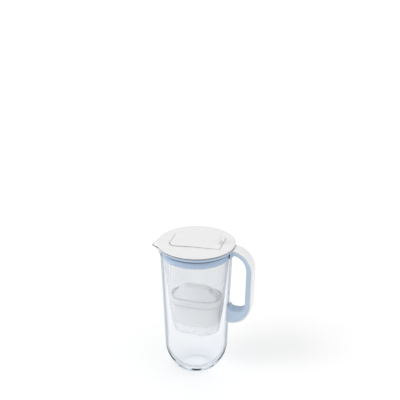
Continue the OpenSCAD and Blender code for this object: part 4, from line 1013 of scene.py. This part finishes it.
def makeHousing():
    # sections up the outside from the well in the underside to the band's top, then down the inside
    c = cartridge
    w, z = c["wall"], c["foot"]
    a, b = c["bodyA"] - c["draft"], c["bodyB"] - c["draft"]
    well = ringLevels([(2, z + c["wellH"]), (c["wellR"], z + c["wellH"]), (c["wellR"], z + 0.4),
                       (c["wellR"] + 0.4, z), (c["middle"], z)])
    outer = well + roundFoot(a, b, z, c["round"], 0, 11, c["footTall"])
    outer += between(outer[-1], (c["bodyA"], c["bodyB"], c["bandZ"] - 0.3), 34)
    step = c["edge"]
    outer += [(c["bodyA"] + 0.3, c["bodyB"] + 0.3, c["bandZ"]), (c["a"] - step, c["b"] - step, c["bandZ"]),
              (c["a"] - 0.2, c["b"] - 0.2, c["bandZ"] + 0.25), (c["a"], c["b"], c["bandZ"] + step),
              (c["a"], c["b"], c["top"] - step), (c["a"] - 0.2, c["b"] - 0.2, c["top"] - 0.2),
              (c["a"] - step, c["b"] - step, c["top"]), (c["a"] - w, c["b"] - w, c["top"])]
    inner = [(c["a"] - w, c["b"] - w, c["bandZ"] + w), (c["bodyA"] - w, c["bodyB"] - w, c["bandZ"] + w)]
    inner += roundFoot(a, b, z + w, c["round"], w, 6, c["footTall"])[::-1]
    wellOut, wellTop = c["wellR"] + c["wellWall"], z + c["wellH"] + c["wellWall"]
    inner += ringLevels([(c["middle"], z + w), (wellOut, z + w), (wellOut, wellTop), (2, wellTop)])
    angles = evenAngles(216)
    grid = insetPanel(stack(outer + inner, angles, c["ease"]))
    piece = skin("cartridgeHousing", grid, capLow=True, capHigh=True, sharp=38)
    slots = []
    for k in range(c["slots"]):
        way = (k + 0.5) * fullTurn / c["slots"]
        turn = np.array([[math.cos(way), math.sin(way)], [-math.sin(way), math.cos(way)]])
        outline = plate(c["wellR"] + 3, c["wellR"] + 9, -c["slotW"] / 2, c["slotW"] / 2) @ turn
        slots.append(blockCutter(outline, z - 1, z + w + 1))
    carve(piece, joinSkins("slots", slots))
    finishPiece(piece, "cartridge", "cartridge_plastic", cartridgeMaterial, "cartridge_housing")


def squareOval(a, b, power, theta):
    # |x / a|^power + |y / b|^power = 1, as a radius for each direction
    along, across = np.cos(theta), np.sin(theta)
    reach = (np.abs(along / a) ** power + np.abs(across / b) ** power) ** (-1 / power)
    return reach * along, reach * across


def tombstone(x, z, radius, base, y0, y1):
    # a plate with a half round top that stands on the base, from y0 to y1, as the rows of a solid
    top = arc(x, z, radius, radius, 0, 180, 13)
    outline = np.vstack([top, [[x - radius, base], [x + radius, base]]])
    return np.array([np.column_stack([outline[:, 0], np.full(len(outline), y), outline[:, 1]])
                     for y in (y0, y1)])


def makeCap():
    # rim, moat, then a hipped dome, from a soft oval at its foot to a rounded rectangle at its top
    c = cartridge
    top, moat = c["top"], c["top"] - c["moat"]
    a, b = c["a"] - c["wall"] - 0.05, c["b"] - c["wall"] - 0.05
    under = moat - 1.4
    rim = [(2, 2, under), (30, 20, under), (a, b, under), (a, b, top - 0.25), (a - 0.25, b - 0.25, top),
           (a - c["rim"] + 0.2, b - c["rim"] + 0.2, top), (a - c["rim"], b - c["rim"], top - 0.3),
           (a - c["rim"], b - c["rim"], moat)]
    angles = evenAngles(160, [(12, 42, 46), (138, 168, 46), (192, 222, 46), (318, 348, 46)])
    share = np.concatenate([[0, 0.02], np.linspace(0.04, 0.95, 16)])
    levels = [(c["domeA"], c["domeB"], z, c["footPower"]) for z in (moat, top - 0.4)]
    for s in share:
        levels.append((c["domeA"] + s * (c["topA"] - c["domeA"]), c["domeB"] + s * (c["topB"] - c["domeB"]),
                       top + s * c["rise"], c["footPower"] + s * (c["topPower"] - c["footPower"])))
    levels += [(c["topA"] + 0.3, c["topB"] + 0.3, top + c["rise"] - 0.25, c["topPower"]),
               (c["topA"] - 0.6, c["topB"] - 0.6, top + c["rise"], c["topPower"]),
               (c["topA"] - 6, c["topB"] - 5, top + c["rise"], 3.0), (2, 2, top + c["rise"], 2.0)]
    rows = [(*stadiumAt(la, lb, angles), z) for la, lb, z in rim]
    rows += [(*squareOval(la, lb, power, angles), z) for la, lb, z, power in levels]
    grid = np.array([np.stack([x, y, np.full(len(angles), z)], -1) for x, y, z in rows])
    piece = skin("cartridgeCap", grid, capLow=True, capHigh=True, sharp=32)
    slope = math.atan2(c["rise"], c["domeA"] - c["topA"])
    cutters = [windowCutter(side, *window, slope) for window in c["windows"] for side in (-1, 1)]
    pocketHalf = c["pocketW"] / 2
    pocket = plate(c["pocketX"], c["a"] - 3.2, -pocketHalf, pocketHalf)
    cutters.append(blockCutter(pocket, top, top + 20))
    carve(piece, joinSkins("windows", cutters))
    finishPiece(piece, "cartridge", "cartridge_plastic", cartridgeMaterial, "cartridge_cap")
    earLow = moat - c["earFoot"]
    spans = ((-c["earOut"], -c["earIn"]), (c["earIn"], c["earOut"]))
    ears = [tombstone(c["ringX"], c["ringZ"], c["earR"], earLow, *span) for span in spans]
    shelf = plate(c["pocketX"] - 1, c["domeA"] - 0.4, -pocketHalf, pocketHalf)
    ears.append(blockCutter(shelf, earLow, top))
    piece = joinSkins("ringEars", ears)
    finishPiece(piece, "cartridge", "cartridge_plastic", cartridgeMaterial, "cartridge_cap")


def stadiumAt(a, b, theta):
    # the point of a plate with round ends in each direction: on the side b / sin, or on the end circle
    along, across = np.cos(theta), np.sin(theta)
    straight = a - b
    side = b / np.maximum(np.abs(across), 1e-9)
    onSide = side * np.abs(along) <= straight
    shift = straight * np.abs(along)
    end = shift + np.sqrt(np.maximum(b * b - straight ** 2 * across ** 2, 0))
    reach = np.where(onSide, side, end)
    return reach * along, reach * across


def windowCutter(side, x0, x1, width, slope):
    # a box that sinks into an end slope between x0 and x1, square to the slope
    c = cartridge
    z0 = c["top"] + (c["domeA"] - x0) * math.tan(slope)
    down = np.array([math.cos(slope), 0, -math.sin(slope)])
    out = np.array([math.sin(slope), 0, math.cos(slope)])
    start = np.array([x0, 0, z0])
    run = (x1 - x0) / math.cos(slope)
    rows = []
    for depth in c["windowDepths"]:
        corners = [start + down * t * run + out * depth + np.array([0, y, 0])
                   for t, y in ((0, -width / 2), (1, -width / 2), (1, width / 2), (0, width / 2))]
        rows.append(np.array(corners) * [side, 1, 1])
    return np.array(rows)


makeHousing()
makeCap()
dressNode("cartridge_inlet_mesh", inletMaterial)
dressNode("cartridge_filter_bed", bedMaterial)
dressNode("cartridge_outlet_screen", screenMaterial)
dressNode("cartridge_seal", gasketMaterial)
dressNode("cartridge_pull_ring", cartridgeMaterial)
print("cartridge done")


# indicator

indicator = {"x": -37.4, "r": 15.5, "bottom": 232.9, "shoulder": 249.9, "topR": 13.2, "wall": 1.4,
             "lipZ": 251.5, "crownBase": 251.15, "crown": 1.5, "slotA": 7.8, "slotB": 5.5, "slotDepth": 0.05,
             "arcIn": 11.2,
             "arcOut": 12.3, "grooveDepth": 0.6, "slotLow": 251.0, "slotHigh": 258, "bezelLow": 251.05,
             "bezelRings": (7.0, 6.0, 5.0, 4.0, 3.3), "bezelNarrow": 2.3, "lensR": 5.0, "lensZ": 252.5,
             "lensRise": 1.65, "lensEdge": 0.8, "stemR": 2.7, "stemLow": 248.1}


def atIndicator(grid):
    # moved along x to the indicator's own axis
    grid[..., 0] += indicator["x"]
    return grid


def crownZ(r):
    # the domed top: z = crownBase + crown (1 - (r / topR)^2)
    d = indicator
    return d["crownBase"] + d["crown"] * (1 - (r / d["topR"]) ** 2)


def makeIndicator():
    # turned shape: wall, shoulder, short lip and domed top with a fine groove near its edge, hollow below
    d = indicator
    deep = -d["grooveDepth"]
    radii = [(d["arcOut"], 0), (d["arcOut"] - 0.15, deep), (d["arcIn"] + 0.15, deep), (d["arcIn"], 0)]
    radii += [(r, 0) for r in (10, 8.8, 7.6, 6.4, 5, 3.5, 2, 1)]
    crown = np.array([[r, crownZ(r) + sink] for r, sink in radii])
    wall = roundedPath([(d["r"] - d["wall"], d["bottom"], 0), (d["r"], d["bottom"], 0.5),
                        (d["r"], d["shoulder"] - 0.2, 1.1), (d["topR"], d["shoulder"], 0.2),
                        (d["topR"], d["lipZ"], 0.4), tuple(crown[0]) + (0,)], steps=4)
    inner = np.array([[1, d["shoulder"] - d["wall"]], [8, d["shoulder"] - d["wall"]],
                      [d["r"] - d["wall"], d["shoulder"] - d["wall"]]])
    grid = atIndicator(lathe(np.vstack([inner, wall, crown[1:]]), evenAngles(96)))
    piece = skin("indicatorHousing", grid, capLow=True, capHigh=True, sharp=35)
    slot = stack([(d["slotA"], d["slotB"], z) for z in (d["slotLow"], d["slotHigh"])], evenAngles(64))
    carve(piece, joinSkins("slot", [atIndicator(slot)]))
    finishPiece(piece, "indicator", "white_plastic", whiteMaterial, "indicator_housing")
    # dark frame in the slot, domed as the top is and a little below it
    sizes = [(d["slotA"] - 0.05, d["slotB"] - 0.05)] + [(a, a - d["bezelNarrow"]) for a in d["bezelRings"]]
    top = stack([(a, b, 0) for a, b in sizes], evenAngles(64))
    top[..., 2] = crownZ(np.hypot(top[..., 0], top[..., 1])) - d["slotDepth"]
    low = stack([(2, 2, d["bezelLow"]), (*sizes[0], d["bezelLow"])], evenAngles(64))
    frameGrid = atIndicator(np.concatenate([low, top]))
    finishPiece(skin("indicatorBezel", frameGrid, capLow=True, capHigh=True), "indicator", "dark_window",
                darkMaterial, "indicator_bezel")
    # round lens: a half ellipse turned about its own axis, on a stem that reaches the board's lamp
    z = d["lensZ"]
    dome = arc(0, z, d["lensR"], d["lensRise"], 0, 84, 12)
    stem = np.array([[1, d["stemLow"]], [d["stemR"], d["stemLow"]], [d["stemR"], z - d["lensEdge"]],
                     [d["lensR"], z - d["lensEdge"]]])
    lensGrid = atIndicator(lathe(np.vstack([stem, dome]), evenAngles(48)))
    finishPiece(skin("indicatorLens", lensGrid, capLow=True, capHigh=True), "indicator", "green_lens",
                lensMaterial, "indicator_lens")


makeIndicator()
dressNode("indicator_circuit_board", boardMaterial)
dressNode("indicator_battery", cellMaterial)
dressNode("indicator_seal", ringSealMaterial)
dressNode("indicator_base_cover", coverMaterial)
dressNode("flap_hinge_pin", pinMaterial)
print("indicator done")


# moulded pieces taken from the solids

soft = {"weld": 0.00002, "flat": 0.6, "bend": 30, "segments": 2, "profile": 0.5, "sharp": 40}


def softened(name, node, radius, reshape=None):
    # a copy of the solid's faces, welded, with every edge sharper than the bend rounded off by the radius
    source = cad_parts[node]
    work = bmesh.new()
    work.from_mesh(source.data)
    work.transform(source.matrix_world)
    bmesh.ops.remove_doubles(work, verts=work.verts, dist=soft["weld"])
    bmesh.ops.dissolve_limit(work, angle_limit=math.radians(soft["flat"]), verts=work.verts, edges=work.edges)
    bend = math.radians(soft["bend"])
    edges = [e for e in work.edges if len(e.link_faces) == 2 and e.calc_face_angle(0) > bend]
    bmesh.ops.bevel(work, geom=edges, offset=radius * mm, offset_type="OFFSET", segments=soft["segments"],
                    profile=soft["profile"], affect="EDGES", clamp_overlap=True)
    mesh = bpy.data.meshes.new(name)
    work.to_mesh(mesh)
    work.free()
    if reshape:
        points = np.zeros(len(mesh.vertices) * 3)
        mesh.vertices.foreach_get("co", points)
        mesh.vertices.foreach_set("co", (reshape(points.reshape(-1, 3) / mm) * mm).ravel())
    return placeMesh(name, mesh, soft["sharp"])


lid = {"edgeR": 69.6, "edgeZ": 254.5, "bevel": 4.5, "bevelDrop": 0.9, "topBand": 1.2, "flapIn": 0.8,
       "sink": 1.1, "sinkRise": (0.2, 0.8), "sinkEnd": (36, 42), "flapFrom": (15, 28), "hinge": (34, 42),
       "webX": (-19.0, -8.8), "webZ": (230.4, 244.4), "webHalf": 2.4}


def shapeLid(points):
    # the top's outer band slopes down: z falls by bevelDrop in a straight line over the bevel's width;
    # the top round the flap lies lower by sink, so that the flap stands a little proud
    r = np.hypot(points[:, 0], points[:, 1])
    share = np.clip((r - lid["edgeR"] + lid["bevel"]) / lid["bevel"], 0, 1)
    onTop = points[:, 2] > lid["edgeZ"] - lid["topBand"]
    points[:, 2] -= lid["bevelDrop"] * share * onTop
    lowest, highest = lid["sinkRise"]
    low = lid["sink"] * smoothStep(points[:, 2], lid["edgeZ"] + lowest, lid["edgeZ"] + highest)
    points[:, 2] -= low * (1 - smoothStep(points[:, 0], *lid["sinkEnd"]))
    return points


def shapeFlap(points):
    # the flap's outline is drawn in towards the jug's axis: (x, y) times 1 - flapIn * share / r, where the
    # share is 0 near the axis, 1 further out and 0 again at the hinge
    r = np.maximum(np.hypot(points[:, 0], points[:, 1]), 1)
    share = smoothStep(r, *lid["flapFrom"]) * (1 - smoothStep(points[:, 0], *lid["hinge"]))
    points[:, :2] *= (1 - lid["flapIn"] * share / r)[:, None]
    return points


moulded = (("lidBody", "lid_body", "lid", 0.25, shapeLid), ("lidFlap", "lid_flap", "flap", 0.3, shapeFlap),
           ("flapLever", "flap_lever", "flap", 0.5, None),
           ("indicatorHolder", "indicator_holder", "lid", 0.3, None))


def makeMoulded():
    for name, node, body, radius, reshape in moulded:
        piece = softened(name, node, radius, reshape=reshape)
        finishPiece(piece, body, "white_plastic", whiteMaterial, node)


def makeLoopWeb():
    # a flat upright web along x that belongs to the indicator's holder
    (x0, x1), (z0, z1), half = lid["webX"], lid["webZ"], lid["webHalf"]
    web = np.array([[[x0, y, z0], [x1, y, z0], [x1, y, z1], [x0, y, z1]] for y in (-half, half)])
    piece = skin("loopWeb", web, capLow=True, capHigh=True)
    finishPiece(piece, "lid", "white_plastic", whiteMaterial, "indicator_holder")


makeMoulded()
makeLoopWeb()
print("moulded pieces done")
